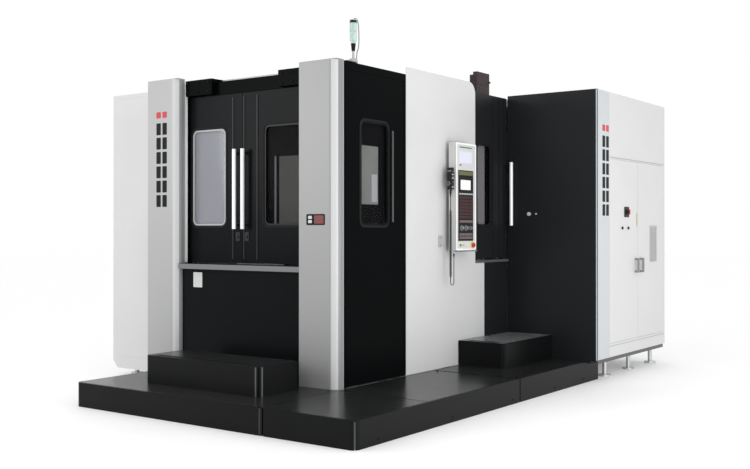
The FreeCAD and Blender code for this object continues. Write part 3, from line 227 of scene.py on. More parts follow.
steel = surface(
    "ground_steel", (0.50, 0.51, 0.53), 0.28, metal=0.9, stretch=(0.2, 1, 1), grain=500.0
)
dark_steel = surface("dark_steel", (0.16, 0.165, 0.17), 0.35, metal=0.8, cloud=12.0, tint=0.15)
zinc = surface("zinc_plate", (0.55, 0.56, 0.58), 0.38, metal=0.8, cloud=18.0, tint=0.12)
brass = surface("brass", (0.55, 0.38, 0.14), 0.35, metal=0.9, cloud=30.0)
casting = surface("casting_paint", (0.40, 0.43, 0.45), 0.5, cloud=4.0, bump=0.35, grain=120.0)
inner_white = surface("inner_white", (0.62, 0.63, 0.64), 0.45)
plastic = surface(
    "black_plastic", (0.011, 0.011, 0.012), 0.5, bump=0.25, grain=700.0, Specular_IOR_Level=0.3
)
maroon = surface("maroon_paint", (0.028, 0.013, 0.015), 0.4, Specular_IOR_Level=0.25)
maroon_keys = surface("maroon_keys", (0.060, 0.027, 0.028), 0.45, tint=0.45, cloud=30.0)
grey_keys = surface("grey_keys", (0.16, 0.125, 0.125), 0.45, tint=0.3, cloud=30.0)
olive = surface("olive_strip", (0.12, 0.125, 0.055), 0.5, cloud=25.0, tint=0.2)
lavender = surface("lavender_sheet", (0.66, 0.67, 0.78), 0.4, cloud=12.0)
grey = surface("grey_metal", (0.24, 0.245, 0.25), 0.4, metal=0.5, stretch=(1, 1, 0.2))
dim_grey = surface("dim_grey_metal", (0.085, 0.087, 0.09), 0.4, metal=0.4, stretch=(1, 1, 0.2))
pale_grey = surface("pale_grey", (0.42, 0.425, 0.44), 0.42)
grey_vent = surface("grey_vent", (0.42, 0.42, 0.42), 0.5)
yellowish = surface("yellowish_latch", (0.50, 0.48, 0.34), 0.4, cloud=30.0, tint=0.12)
red = surface("red_plastic", (0.50, 0.010, 0.014), 0.32, cloud=20.0)
dark_red = surface("dark_red", (0.16, 0.020, 0.020), 0.4, cloud=60.0, tint=0.5)
yellow = surface("yellow_plastic", (0.62, 0.44, 0.05), 0.4, cloud=20.0)
green = surface("green_plastic", (0.03, 0.20, 0.09), 0.35, cloud=20.0)
lens = surface(
    "lamp_glass", (0.52, 0.70, 0.64), 0.12, tint=0.2, cloud=30.0, Alpha=0.60,
    Emission_Color=(0.55, 0.9, 0.78, 1), Emission_Strength=0.06,
)
rubber = surface("cord_rubber", (0.012, 0.012, 0.013), 0.50, bump=0.15, Specular_IOR_Level=0.3)
glow = surface(
    "work_light", (0.9, 0.9, 0.95), 0.4, Emission_Color=(0.9, 0.93, 1.0, 1), Emission_Strength=6.0
)
display = surface(
    "display", (0.72, 0.73, 0.70), 0.25, cloud=40.0, tint=0.12,
    Emission_Color=(0.9, 0.92, 0.90, 1), Emission_Strength=0.28,
)

FINISHES = {
    white: "side_white_panel electrical_cabinet magazine_cover cabinet_front_door "
    "cabinet_rear_door control_panel roof_panel",
    frame_white: "enclosure_frame",
    silver: "left_pillar",
    shaded_right_silver: "right_pillar",
    sill_silver: "front_sill_rail operator_sill",
    black: "front_lower_panel apc_left_door apc_right_door",
    side_black_painted_shade: "side_door front_header",
    wall_black_painted_light: "cabinet_side_wall operator_lower_panel operator_door",
    black_satin: "panel_arm",
    grey_vent: "lamp_base",
    platform: "platform_front platform_corner platform_side step_front step_side",
    glass: "apc_right_window side_window operator_window",
    glass_painted_reflection: "apc_left_window",
    bright: "apc_left_handle apc_right_handle operator_handle",
    grey: "cabinet_front_pull cabinet_rear_pull",
    dim_grey: "side_handle",
    casting: "bed column spindle_head table_saddle apc_post",
    inner_white: "apc_arm",
    steel: "guide_rails rotary_table setup_pallet machine_pallet spindle tool_disc atc_arm",
    zinc: "drive_plate leveling_feet",
    plastic: "pendant main_switch pendant_wheel",
    maroon: "roof_motor",
    red: "e_stop",
    lens: "lamp_lens",
    display: "control_screen",
    rubber: "pendant_cord",
}
# Bevel widths that soften the imported pieces' edges.
SOFT_EDGES = {
    "platform_front platform_corner platform_side step_front step_side": 0.006,
    "magazine_cover electrical_cabinet roof_panel enclosure_frame roof_motor": 0.006,
    "bed column spindle_head table_saddle apc_arm setup_pallet machine_pallet": 0.006,
    "apc_left_door apc_right_door side_door operator_door front_lower_panel": 0.003,
    "operator_lower_panel front_header front_sill_rail operator_sill": 0.003,
    "cabinet_front_door cabinet_rear_door control_panel": 0.003,
    "left_pillar right_pillar cabinet_front_pull cabinet_rear_pull cabinet_side_wall": 0.002,
}


def soften(thing, width, segments=3):
    bevel = thing.modifiers.new("soft_edge", "BEVEL")
    bevel.width = width
    bevel.segments = segments
    bevel.limit_method = "ANGLE"
    bevel.angle_limit = math.radians(50)
    bevel.harden_normals = True


for finish, names in FINISHES.items():
    for name in names.split():
        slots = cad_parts[name].data.materials
        slots.clear()
        slots.append(finish)
for names, width in SOFT_EDGES.items():
    for name in names.split():
        soften(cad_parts[name], width)


# ---------------------------------------------------------------- making pieces
def spot(axis, depth, a, b):
    """The point at a depth along an axis and at (a, b) across it, in X, Y, Z order."""
    return {"x": (depth, a, b), "y": (a, depth, b), "z": (a, b, depth)}[axis]


def unspot(axis, point):
    """A point's depth along an axis, and its (a, b) across it."""
    return [point[n] for n in {"x": (0, 1, 2), "y": (1, 0, 2), "z": (2, 0, 1)}[axis]]


def across(node, axis):
    """A node's box seen along an axis, as the area (a0, b0, a1, b1)."""
    (_, a0, b0), (_, a1, b1) = (unspot(axis, corner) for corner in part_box(node))
    return a0, b0, a1, b1


def inset(area, *by):
    """An area with its sides moved in, by one distance or by one for each side."""
    a0, b0, a1, b1 = by if len(by) == 4 else by * 4
    return area[0] + a0, area[1] + b0, area[2] - a1, area[3] - b1


def face_of(node, axis, out):
    """Where a node's box ends on the side given by out, -1 or 1."""
    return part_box(node)[out > 0]["xyz".index(axis)]


def place(name, mesh, body, finish, bevel=0.0015):
    """Turns a bmesh into a piece that rides on a body."""
    bmesh.ops.recalc_face_normals(mesh, faces=mesh.faces)
    data = bpy.data.meshes.new(name)
    mesh.to_mesh(data)
    mesh.free()
    data.shade_smooth()
    data.set_sharp_from_angle(angle=math.radians(35))
    data.materials.append(finish)
    thing = bpy.data.objects.new(name, data)
    bpy.context.collection.objects.link(thing)
    if bevel:
        soften(thing, bevel, 2)
    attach(thing, body)
    return thing


def circle(a, b, radius, sides=32):
    turns = [2 * math.pi * n / sides for n in range(sides)]
    return [(a + radius * math.cos(t), b + radius * math.sin(t)) for t in turns]


def rounded(a0, b0, a1, b1, radius=0.0, steps=5):
    """A rectangle's outline with rounded corners."""
    if not radius:
        return [(a0, b0), (a1, b0), (a1, b1), (a0, b1)]
    left, right, foot, head = a0 + radius, a1 - radius, b0 + radius, b1 - radius
    points = []
    for n, (a, b) in enumerate([(right, foot), (right, head), (left, head), (left, foot)]):
        for step in range(steps + 1):
            turn = math.radians(90 * (n - 1 + step / steps))
            points.append((a + radius * math.cos(turn), b + radius * math.sin(turn)))
    return points


def prism(mesh, axis, outline, start, end):
    rings = [[mesh.verts.new(spot(axis, depth, a, b)) for a, b in outline] for depth in (start, end)]
    mesh.faces.new(rings[0])
    mesh.faces.new(rings[1][::-1])
    for n in range(len(outline)):
        m = (n + 1) % len(outline)
        mesh.faces.new((rings[0][n], rings[0][m], rings[1][m], rings[1][n]))


def plate(mesh, axis, area, face, thick, radius=0.0):
    """A plate with rounded corners that stands on a face."""
    prism(mesh, axis, rounded(*area, radius), face, face + thick)


def block(mesh, corner, other):
    prism(mesh, "z", rounded(*corner[:2], *other[:2]), corner[2], other[2])


def hoop(mesh, axis, outer, inner, start, end):
    """A frame between two outlines that have as many points."""
    rings = [
        [mesh.verts.new(spot(axis, depth, a, b)) for a, b in outline]
        for outline, depth in ((outer, start), (outer, end), (inner, end), (inner, start))
    ]
    for one, two in zip(rings, rings[1:] + rings[:1]):
        for n in range(len(outer)):
            m = (n + 1) % len(outer)
            mesh.faces.new((one[n], one[m], two[m], two[n]))


def ring(mesh, centre, outer, inner, start, end, axis="y", sides=32):
    hoop(mesh, axis, circle(*centre, outer, sides), circle(*centre, inner, sides), start, end)


def lathe(mesh, axis, centre, profile, sides=24):
    """Turns (radius, height) corners about an axis through a point."""
    depth, a, b = unspot(axis, centre)
    rings = []
    for radius, height in profile:
        outline = circle(a, b, radius, sides) if radius else [(a, b)]
        rings.append([mesh.verts.new(spot(axis, depth + height, *at)) for at in outline])
    for one, two in zip(rings, rings[1:]):
        for n in range(sides):
            m = (n + 1) % sides
            corners = [one[n % len(one)], one[m % len(one)], two[m % len(two)], two[n % len(two)]]
            face = list(dict.fromkeys(corners))
            if len(face) > 2:
                mesh.faces.new(face)


def knob(mesh, axis, centre, radius, height, sides=24):
    """A turned knob or button with a rounded rim, standing out along the axis."""
    rim = min(radius, abs(height)) * 0.25
    step = math.copysign(rim, height)
    profile = [(0, 0), (radius, 0), (radius, height - step), (radius - rim * 0.4, height - step * 0.3)]
    lathe(mesh, axis, centre, profile + [(radius - rim, height), (0, height)], sides)


def screw(mesh, axis, centre, radius, out=1):
    """A button-head screw with a socket, standing out along the axis."""
    corners = [(0, 0), (1, 0), (0.95, 0.4), (0.6, 0.65), (0.42, 0.65), (0.42, 0.25), (0, 0.25)]
    lathe(mesh, axis, centre, [(radius * r, out * radius * h) for r, h in corners], 12)


def ring_bolts(mesh, centre, spread, count, radius):
    """A circle of screws on a front face, round a point."""
    x, y, z = centre
    for n in range(count):
        turn = 2 * math.pi * (n + 0.5) / count
        screw(mesh, "y", (x + spread * math.cos(turn), y, z + spread * math.sin(turn)), radius, -1)


def louver(mesh, axis, face, out, area, count):
    """Sloped slats on a face, each as deep as out at its lower edge."""
    a0, b0, a1, b1 = area
    pitch = (b1 - b0) / count
    for n in range(count):
        foot = b0 + n * pitch
        corners = (face, foot), (face + out, foot), (face + out, foot + pitch * 0.15)
        corners += ((face, foot + pitch * 0.8),)
        ends = [[mesh.verts.new(spot(axis, depth, a, b)) for depth, b in corners] for a in (a0, a1)]
        mesh.faces.new(ends[0])
        mesh.faces.new(ends[1][::-1])
        for m in range(4):
            k = (m + 1) % 4
            mesh.faces.new((ends[0][m], ends[0][k], ends[1][k], ends[1][m]))


def stripes(mesh, axis, face, out, a0, a1, rows):
    """Pairs of plain bars, one above another, as a generic trim."""
    for b0, b1 in rows:
        for c0, c1 in ((0.0, 0.42), (0.58, 1.0)):
            plate(mesh, axis, (a0 + c0 * (a1 - a0), b0, a0 + c1 * (a1 - a0), b1), face, out, 0.008)


def grip_slot(mesh, axis, middle, foot, head, face, out):
    """A recessed pull: an upright frame on a sheet."""
    outer = rounded(middle - 0.02, foot, middle + 0.02, head, 0.015)
    inner = rounded(middle - 0.008, foot + 0.015, middle + 0.008, head - 0.015, 0.006)
    hoop(mesh, axis, outer, inner, face, face + out)


def trim(name, axis, face, out, a0, a1, foot, spread, tip):
    """Evenly spaced dark bars up a column, and a red pair at their top."""
    rows = [(foot + 0.157 * n * spread, foot + (0.157 * n + 0.130) * spread) for n in range(6)]
    for part, finish, slot, bars in (
        ("", black_satin, "black_gloss", rows),
        ("_tip", red, "red_plastic", [tip]),
    ):
        mesh = bmesh.new()
        stripes(mesh, axis, face, out, a0, a1, bars)
        place(name + part, mesh, "root", finish, 0.0004)


def plates(name, body, finish, axis, face, thick, areas, radius=0.0, bevel=0.0015):
    """A piece made of plates on one face."""
    mesh = bmesh.new()
    for area in areas:
        plate(mesh, axis, area, face, thick, radius)
    place(name, mesh, body, finish, bevel)


# ---------------------------------------------------------------- hand unit's coiled lead
CORD_DIAMETER = 0.008
COIL_RADIUS = 0.0108
COIL_PITCH = 0.0160
COIL_STEPS = 14
COIL_START, COIL_END = 0.16, 0.88
COIL_RAMP = 0.03
PLAIN_STEP = 0.012
RIBS = 6
RIB_PITCH = 0.007
RIB_DEPTH = 0.0025


def curve(name, points, thick=0.0, resolution=8):
    """A NURBS curve of order 3 from its first point to its last."""
    data = bpy.data.curves.new(name, "CURVE")
    data.dimensions = "3D"
    data.bevel_depth = thick
    data.bevel_resolution = 3
    data.use_fill_caps = bool(thick)
    line = data.splines.new("NURBS")
    line.points.add(len(points) - 1)
    for point, at in zip(line.points, points):
        point.co = (*at, 1)
    line.order_u = 3
    line.use_endpoint_u = True
    line.resolution_u = resolution
    thing = bpy.data.objects.new(name, data)
    bpy.context.collection.objects.link(thing)
    return thing


def coiled_lead():
    start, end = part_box("pendant_cord")
    tube = (end.x - start.x) / 2
    x, front, back = start.x + tube, start.y + tube, end.y - tube
    top, foot, gland = end.z, start.z + tube, low("control_panel").z
    bow = foot + back - front
    corners = [(front, top), (front, bow), (front, foot), (back, foot), (back, bow), (back, gland)]
    route = curve("lead_route", [(x, y, z) for y, z in corners], resolution=40)
    bpy.context.view_layer.update()
    read = bpy.data.meshes.new_from_object(route)
    line = [vertex.co.copy() for vertex in read.vertices]
    bpy.data.objects.remove(route)
    bpy.data.meshes.remove(read)
    if line[0].z < line[-1].z:
        line.reverse()
    run = [0.0]
    for one, two in zip(line, line[1:]):
        run.append(run[-1] + (two - one).length)

    def on_route(distance):
        n = next((k for k in range(1, len(run) - 1) if run[k] >= distance), len(run) - 1)
        part = (distance - run[n - 1]) / (run[n] - run[n - 1])
        return line[n - 1].lerp(line[n], part), (line[n] - line[n - 1]).normalized()

    points = []
    distance = 0.0
    side = Vector((1, 0, 0))
    while distance < run[-1] - PLAIN_STEP / 3:
        at, along = on_route(distance)
        ramp = min(distance - COIL_START, COIL_END - distance) / COIL_RAMP
        width = COIL_RADIUS * max(0.0, min(1.0, ramp))
        other = along.cross(side).normalized()
        turn = 2 * math.pi * (distance - COIL_START) / COIL_PITCH
        points.append(at + width * (side * math.cos(turn) + other * math.sin(turn)))
        coiled = COIL_START <= distance <= COIL_END
        distance += COIL_PITCH / COIL_STEPS if coiled else PLAIN_STEP
    points.append(line[-1])
    lead = curve("coiled_lead", points, CORD_DIAMETER / 2, 2)
    lead.data.materials.append(rubber)
    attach(lead, "panel")
    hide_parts("pendant_cord")
    relief = bmesh.new()
    ribs = [(0, 0)]
    for n in range(RIBS):
        radius, foot = 0.0105 - 0.0008 * n, -RIB_PITCH * n
        waist = radius - RIB_DEPTH
        ribs += [(radius, foot), (radius, foot - 0.004), (waist, foot - 0.0045), (waist, foot - 0.0065)]
    for at in (line[0], line[-1]):
        lathe(relief, "z", at, ribs + [(0, ribs[-1][1])])
    boots = place("lead_boots", relief, "panel", rubber, 0)


coiled_lead()

# ---------------------------------------------------------------- windows and pull bars
SEAL_WIDTH = 0.016
SEAL_PROUD = 0.004
WINDOW_CORNER = 0.060
LINING_GAP = 0.007
PATCH_GAP = 0.004
RIGHT_PATCH_TOP = 2.368
SIDE_PATCH = (1.900, 2.450)
SIDE_BOX = (1.925, 2.185)


def facing(node):
    """The axis that a door's piece faces along, and its outward sign."""
    return ("y", -1) if node.startswith("apc") else ("x", 1)


def leaf_of(node):
    """The body of the door that a window or bar is on."""
    return node.rsplit("_", 1)[0] + "_leaf"


def window_trim(node, lip_finish):
    """A rubber seal and an inner lip round a window, on the door's outer face."""
    axis, out = facing(node)
    area = across(node, axis)
    name, body = node.replace("apc_", ""), leaf_of(node)
    face = face_of(node.replace("window", "door"), axis, out)
    outer = rounded(*inset(area, -SEAL_WIDTH), WINDOW_CORNER + SEAL_WIDTH)
    frame_seal = bmesh.new()
    inner = rounded(*inset(area, 0.006), WINDOW_CORNER)
    hoop(frame_seal, axis, outer, inner, face, face + out * SEAL_PROUD)
    place(f"{name}_seal", frame_seal, body, seal)
    lip = bmesh.new()
    edge = rounded(*inset(area, 0.0065), WINDOW_CORNER)
    hole = rounded(*inset(area, 0.024), WINDOW_CORNER - 0.018)
    hoop(lip, axis, edge, hole, face - out * 0.0145, face - out * 0.002)
    place(f"{name}_lip", lip, body, lip_finish, 0.002)


def painted_window_view(name, node, finish, area=None):
    """A thin sheet behind a window's glass with painted light and shade for the inside seen through it:
    as large as the window, or a nearer, smaller patch.
    """
    axis, out = facing(node)
    face = face_of(node, axis, -out) - out * (PATCH_GAP if area else LINING_GAP)
    areas = [inset(area or across(node, axis), 0.001)]
    corner = 0.012 if area else WINDOW_CORNER
    plates(name, leaf_of(node), finish, axis, face, -out * 0.002, areas, corner, 0)


def bar_fittings(node):
    """Dark sleeves and flanges on a pull bar's posts."""
    axis, out = facing(node)
    a0, b0, a1, b1 = across(node, axis)
    back = face_of(node, axis, -out)
    radius = (a1 - a0) / 2
    reach = abs(face_of(node, axis, out) - back) - 1.8 * radius
    corners = [(0, 0.0005), (1.2, 0.0005), (1.2, 0.005), (0.62, 0.008), (0.62, reach), (0, reach)]
    profile = [(radius * r, out * height) for r, height in corners]
    mesh = bmesh.new()
    for height in (b0 + 0.04, b1 - 0.04):
        lathe(mesh, axis, spot(axis, back, (a0 + a1) / 2, height), profile)
    place(f"{node}_fittings", mesh, leaf_of(node), black_satin, 0)


window_trim("apc_left_window", pale_grey)
window_trim("apc_right_window", dark_fold)
window_trim("side_window", black)
window_trim("operator_window", dark_fold)
# Painted light and shade: the sheets behind the glass stand in for the dark inside and the lit walls
# seen through the windows.
painted_window_view("left_painted_light", "apc_left_window", pale_painted_light)
painted_window_view("right_painted_shade", "apc_right_window", painted_shade_lining)
a0, b0, a1, b1 = across("apc_right_window", "y")
painted_patch = (a0 + 0.173, b0 + 0.01, a1 - 0.01, RIGHT_PATCH_TOP)
painted_window_view("right_painted_light", "apc_right_window", olive_painted_light, painted_patch)
painted_window_view("side_painted_shade", "side_window", painted_shade_lining)
a0, b0, a1, b1 = across("side_window", "x")
painted_patch = (a0 + 0.030, SIDE_PATCH[0], a0 + 0.320, SIDE_PATCH[1])
painted_window_view("side_painted_light", "side_window", painted_light_patch, painted_patch)
box_y = (a0 + 0.215, a0 + 0.305)
painted_window_view("operator_painted_shade", "operator_window", painted_shade_lining)
a0, b0, a1, b1 = across("operator_window", "x")
painted_patch = (a0 + 0.006, b0 + 0.012, a0 + 0.225, b1 - 0.012)
painted_window_view("operator_painted_light", "operator_window", violet_painted_light, painted_patch)
painted_light_box_mesh = bmesh.new()
x = low("side_window").x - 0.004
block(painted_light_box_mesh, (x, box_y[0], SIDE_BOX[0]), (x + 0.001, box_y[1], SIDE_BOX[1]))
place("side_painted_light_box", painted_light_box_mesh, "side_leaf", pale_grey, 0)

# ---------------------------------------------------------------- loading doors
STILE_WIDTH = 0.018
STILE_PROUD = 0.007
CATCH_PROUD = 0.006


def stile(along, foot, head):
    """The area of a raised upright fold on a door."""
    return along - STILE_WIDTH / 2, foot, along + STILE_WIDTH / 2, head


leaf_face = low("apc_left_door").y
leaf_foot = low("apc_left_window").z - 0.33
leaf_head = high("apc_left_window").z + 0.30
meeting = (high("apc_left_door").x + low("apc_right_door").x) / 2
for side, sign, offsets in (("left", -1, (-0.127,)), ("right", 1, (0.0205, 0.196))):
    body = f"apc_{side}_leaf"
    areas = [stile(meeting + along, leaf_foot, leaf_head) for along in offsets]
    plates(f"{side}_door_folds", body, dark_fold, "y", leaf_face, -STILE_PROUD, areas, 0, 0.004)
    catch = bmesh.new()
    x, z = meeting + sign * 0.06, low(f"apc_{side}_handle").z - 0.075
    plate(catch, "y", (x - 0.028, z - 0.045, x + 0.028, z + 0.045), leaf_face, -CATCH_PROUD, 0.01)
    knob(catch, "y", (x, leaf_face - CATCH_PROUD, z), 0.013, -0.008)
    place(f"{side}_door_catch", catch, body, dark_fold, 0.001)
start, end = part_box("apc_right_window")
area = (start.x + 0.112, start.z + 0.02, start.x + 0.136, RIGHT_PATCH_TOP + 0.002)
plates(
    "right_door_inner_rail", "apc_right_leaf", dim_grey, "y", end.y + 0.0035, 0.003, [area],
    0.004, 0.001,
)
for node in ("apc_left_handle", "apc_right_handle", "side_handle", "operator_handle"):
    bar_fittings(node)

# ---------------------------------------------------------------- pillars and header
PILLAR_CORNER = 0.090
TRIM_PROUD = 0.0012
BADGE_PROUD = 0.003
pillar_face = low("right_pillar").y
left_edge, left_inner = low("left_pillar").x, low("front_lower_panel").x
front_face = low("front_lower_panel").y


def on_pillars(name, finish, face, proud, areas, radius, bevel):
    plates(name, "root", finish, "y", face, -proud, areas, radius, bevel)


trim(
    "pillar_trim", "y", pillar_face, -TRIM_PROUD, left_edge + 0.130, left_edge + 0.285,
    1.897, 0.94, (2.808, 2.872),
)
x, z = high("right_pillar").x - 0.350, 1.705
badge_face = pillar_face - BADGE_PROUD
on_pillars("badge", black_satin, pillar_face, BADGE_PROUD, [(x, z, x + 0.215, z + 0.100)], 0.012, 0.001)
field = (x + 0.092, z + 0.012, x + 0.203, z + 0.088)
on_pillars("badge_field", dark_red, badge_face, 0.0015, [field], 0.008, 0.0005)
marks = [(x + 0.022, z + row, x + 0.066, z + row + 0.028) for row in (0.018, 0.056)]
on_pillars("badge_marks", white, badge_face, 0.0015, marks, 0.006, 0.0005)
x = left_inner + 0.155
on_pillars("bare_plate", white, front_face, 0.001, [(x, 1.085, x + 0.125, 1.235)], 0.006, 0)


def corner_band(mesh, x, y, radius, start, end, foot, head, proud=0.0012):
    """A thin strip bent round an upright corner, between two angles in degrees."""
    turns = [math.radians(start + (end - start) * n / 8) for n in range(9)]
    outline = [
        (x + reach * math.cos(t), y + reach * math.sin(t))
        for reach, side in ((radius + proud, turns), (radius - 0.001, turns[::-1]))
        for t in side
    ]
    prism(mesh, "z", outline, foot, head)


# Painted highlight and painted shade: a bright strip and a grey strip bent round each pillar's rounded
# corner stand in for the light on the curve.
for name, right in (("left_pillar", left_inner - 0.001), ("right_pillar", high("right_pillar").x)):
    foot, head = high("platform_front").z + 0.002, high(name).z - 0.004
    for band, finish, start, end, proud in (
        ("bright", painted_highlight_band, -76, -34, 0.0012),
        ("grey", silver_painted_shade, -34, -2, 0.0008),
    ):
        mesh = bmesh.new()
        x, y = right - PILLAR_CORNER, low(name).y + PILLAR_CORNER
        corner_band(mesh, x, y, PILLAR_CORNER, start, end, foot, head, proud)
        place(f"{name}_{band}_band", mesh, "root", finish, 0)

strip = bmesh.new()
x = left_inner - 0.0003
block(strip, (x, pillar_face + 0.106, 1.330), (x + 0.0045, pillar_face + 0.138, 3.170))
place("jamb_strip", strip, "root", bright_white)
cover = bmesh.new()
start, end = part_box("front_sill_rail")
area = (start.x + 0.004, start.y + 0.008, end.x - 0.004, leaf_face - 0.012)
plate(cover, "z", area, end.z, 0.0015, 0.004)
for x in (start.x + 0.28, (start.x + end.x) / 2, end.x - 0.28):
    screw(cover, "z", (x, (start.y + leaf_face) / 2, end.z + 0.0015), 0.008)
place("sill_cover", cover, "root", black_satin, 0.0005)
caps = bmesh.new()
for name in ("left_pillar", "right_pillar"):
    x, y, top = low(name).x, pillar_face, high(name).z
    plate(caps, "z", (x + 0.008, y + 0.008, x + 0.432, y + 0.096), top - 0.002, 0.005, 0.01)
place("pillar_caps", caps, "root", silver, 0.001)
bolts = bmesh.new()
right_inner, header_top = low("right_pillar").x, high("front_header").z
for x0, x1 in ((left_inner + 0.04, left_inner + 0.33), (right_inner - 0.31, right_inner - 0.04)):
    for x in (x0, (x0 + x1) / 2, x1):
        for z in (header_top - 0.035, header_top - 0.125):
            screw(bolts, "y", (x, low("front_header").y, z), 0.009, -1)
for x in (left_inner + 0.03, high("front_lower_panel").x - 0.03):
    for z in (0.30, 0.62, 0.94, 1.22):
        screw(bolts, "y", (x, front_face, z), 0.008, -1)
place("front_screws", bolts, "root", black_satin, 0)

# ---------------------------------------------------------------- operator's side doors
side_face, operator_face = high("side_door").x, high("operator_door").x
start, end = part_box("side_door")
folds = bmesh.new()
area = inset(across("side_door", "x"), 0.012, 0.03, 0.012, 0.06)
outer, inner = rounded(*area, 0.012), rounded(*inset(area, 0.022), 0.006)
hoop(folds, "x", outer, inner, side_face, side_face + 0.004)
place("side_door_fold", folds, "side_leaf", side_black_painted_shade)
sweep = bmesh.new()
foot = high("platform_corner").z + 0.0015
block(
    sweep,
    (side_face - 0.036, start.y + 0.004, foot),
    (side_face - 0.002, end.y - 0.004, start.z + 0.004),
)
place("side_door_sweep", sweep, "side_leaf", seal, 0.001)
threshold = bmesh.new()
block(
    threshold,
    (side_face + 0.0012, start.y + 0.004, 0.205),
    (side_face + 0.0045, end.y, start.z - 0.0055),
)
place("side_door_threshold", threshold, "root", seal, 0.0004)
start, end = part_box("operator_door")
edge = bmesh.new()
block(
    edge,
    (operator_face + 0.0045, start.y + 0.063, high("operator_sill").z + 0.006),
    (side_face - 0.0005, start.y + 0.078, high("side_white_panel").z),
)
place("side_panel_edge", edge, "root", black, 0.001)
areas = [stile(start.y + a, start.z + 0.02, end.z - 0.02) for a in (0.46, 0.60, 0.725)]
plates(
    "operator_door_folds", "operator_leaf", black_satin, "x", operator_face, STILE_PROUD / 2,
    areas, 0, 0.004,
)
middle = (low("operator_handle").z + high("operator_handle").z) / 2
area = (start.y + 0.628, middle - 0.34, start.y + 0.700, middle + 0.34)
plates(
    "operator_catch_plate", "operator_leaf", dark_fold, "x", operator_face, 0.003, [area],
    0.012, 0.001,
)
hook = bmesh.new()
x, y, z = high("side_white_panel").x, low("pendant_cord").y - 0.035, 1.545
plate(hook, "x", (y - 0.035, z - 0.06, y + 0.035, z + 0.06), x, 0.012, 0.01)
for arm in (z - 0.035, z + 0.035):
    plate(hook, "x", (y - 0.025, arm - 0.012, y + 0.025, arm + 0.012), x + 0.012, 0.018, 0.006)
place("cord_hook", hook, "root", pale_grey, 0.002)

# ---------------------------------------------------------------- operator's panel
KEY = 0.027
KEY_PITCH = (0.0335, 0.034)
UNIT_PROUD = 0.005
panel_face = low("control_screen").x + 0.012
panel_low = low("control_panel").z + 0.030
panel_start, panel_end = low("control_panel").y, high("control_panel").y


def on_panel(name, finish, shapes, thick, corner=0.004, base=0.0, bevel=0.0005):
    """Rounded plates on the operator's panel, each (y, z, width, height) from its corner."""
    areas = [
        (panel_start + y, panel_low + z, panel_start + y + width, panel_low + z + height)
        for y, z, width, height in shapes
    ]
    plates(name, "panel", finish, "x", panel_face + base, thick, areas, corner, bevel)


def keys(name, finish, foot, rows):
    """A block of square keys, eight to a row."""
    across_by, up_by = KEY_PITCH
    shapes = [(0.066 + across_by * n, foot + up_by * m, KEY, KEY) for n in range(8) for m in rows]
    on_panel(name, finish, shapes, 0.004, 0.004, UNIT_PROUD, 0.001)


bezel = bmesh.new()
unit = (panel_start + 0.048, panel_low + 0.100, panel_end - 0.062, panel_low + 0.838)
hole = inset(across("control_screen", "x"), 0.004, 0.014, 0.020, 0.032)
outer, inner = rounded(*unit, 0.008), rounded(*hole, 0.008)
hoop(bezel, "x", outer, inner, panel_face, panel_face + UNIT_PROUD)
place("panel_bezel", bezel, "panel", plastic, 0.001)
strip = [(0.056, 0.786, 0.285, 0.042)]
on_panel("panel_olive_strip", olive, strip, 0.0015, 0.002, UNIT_PROUD)
on_panel("panel_sheet", lavender, [(0.070, 0.915, 0.255, 0.120)], 0.0015, 0.006)
on_panel("panel_green_line", green, [(0.070, 1.072, 0.255, 0.012)], 0.0015)
on_panel("panel_dot", black_satin, [(0.075, 0.885, 0.035, 0.012)], 0.002)
keys("panel_keys", maroon_keys, 0.335, range(7))
keys("panel_grey_keys", grey_keys, 0.120, (0, 1, 5))
shapes = [(0.060 + 0.047 * n, 0.583, 0.038, 0.016) for n in range(6)]
on_panel("panel_soft_keys", pale_grey, shapes, 0.003, 0.003, UNIT_PROUD, 0.001)
dials = bmesh.new()
for y, radius in ((0.105, 0.030), (0.195, 0.030), (0.285, 0.024)):
    centre = (panel_face + UNIT_PROUD, panel_start + y, panel_low + 0.235)
    profile = [(0, 0), (radius, 0), (radius, 0.003), (radius * 0.7, 0.004), (radius * 0.66, 0.022)]
    lathe(dials, "x", centre, profile + [(0, 0.024)])
place("panel_dials", dials, "panel", grey, 0)
shapes = [(y - 0.002, 0.236, 0.004, 0.018) for y in (0.105, 0.195)]
on_panel("panel_pointers", white, shapes, 0.0015, 0, 0.028, 0)
for name, finish, slot, y in (
    ("start_button", green, "lamp_glass", 0.090),
    ("hold_button", yellow, "red_plastic", 0.150),
    ("ready_button", white, "white_paint", 0.210),
):
    button = bmesh.new()
    knob(button, "x", (panel_face, panel_start + y, panel_low + 0.055), 0.013, 0.010)
    place(name, button, "panel", finish, 0)
collar = bmesh.new()
stop = (low("e_stop") + high("e_stop")) / 2
profile = [(0.0125, 0), (0.036, 0), (0.036, 0.0010), (0.0355, 0.0015), (0.0125, 0.0015)]
lathe(collar, "x", (panel_face, stop.y, stop.z), profile + [(0.0125, 0)])
place("stop_collar", collar, "panel", yellow, 0)
shelf = bmesh.new()
block(
    shelf,
    (panel_face - 0.030, panel_start + 0.004, panel_low - 0.012),
    (panel_face + 0.022, panel_end - 0.004, panel_low),
)
place("panel_shelf", shelf, "panel", grey, 0.004)
rim = bmesh.new()
area = (panel_start + 0.001, panel_low + 0.001, panel_end - 0.001, panel_low + 1.123)
outer, inner = rounded(*area, 0.018), rounded(*inset(area, 0.019), 0.012)
hoop(rim, "x", outer, inner, panel_face, panel_face + 0.006)
place("panel_rim", rim, "panel", bright_white, 0.003)

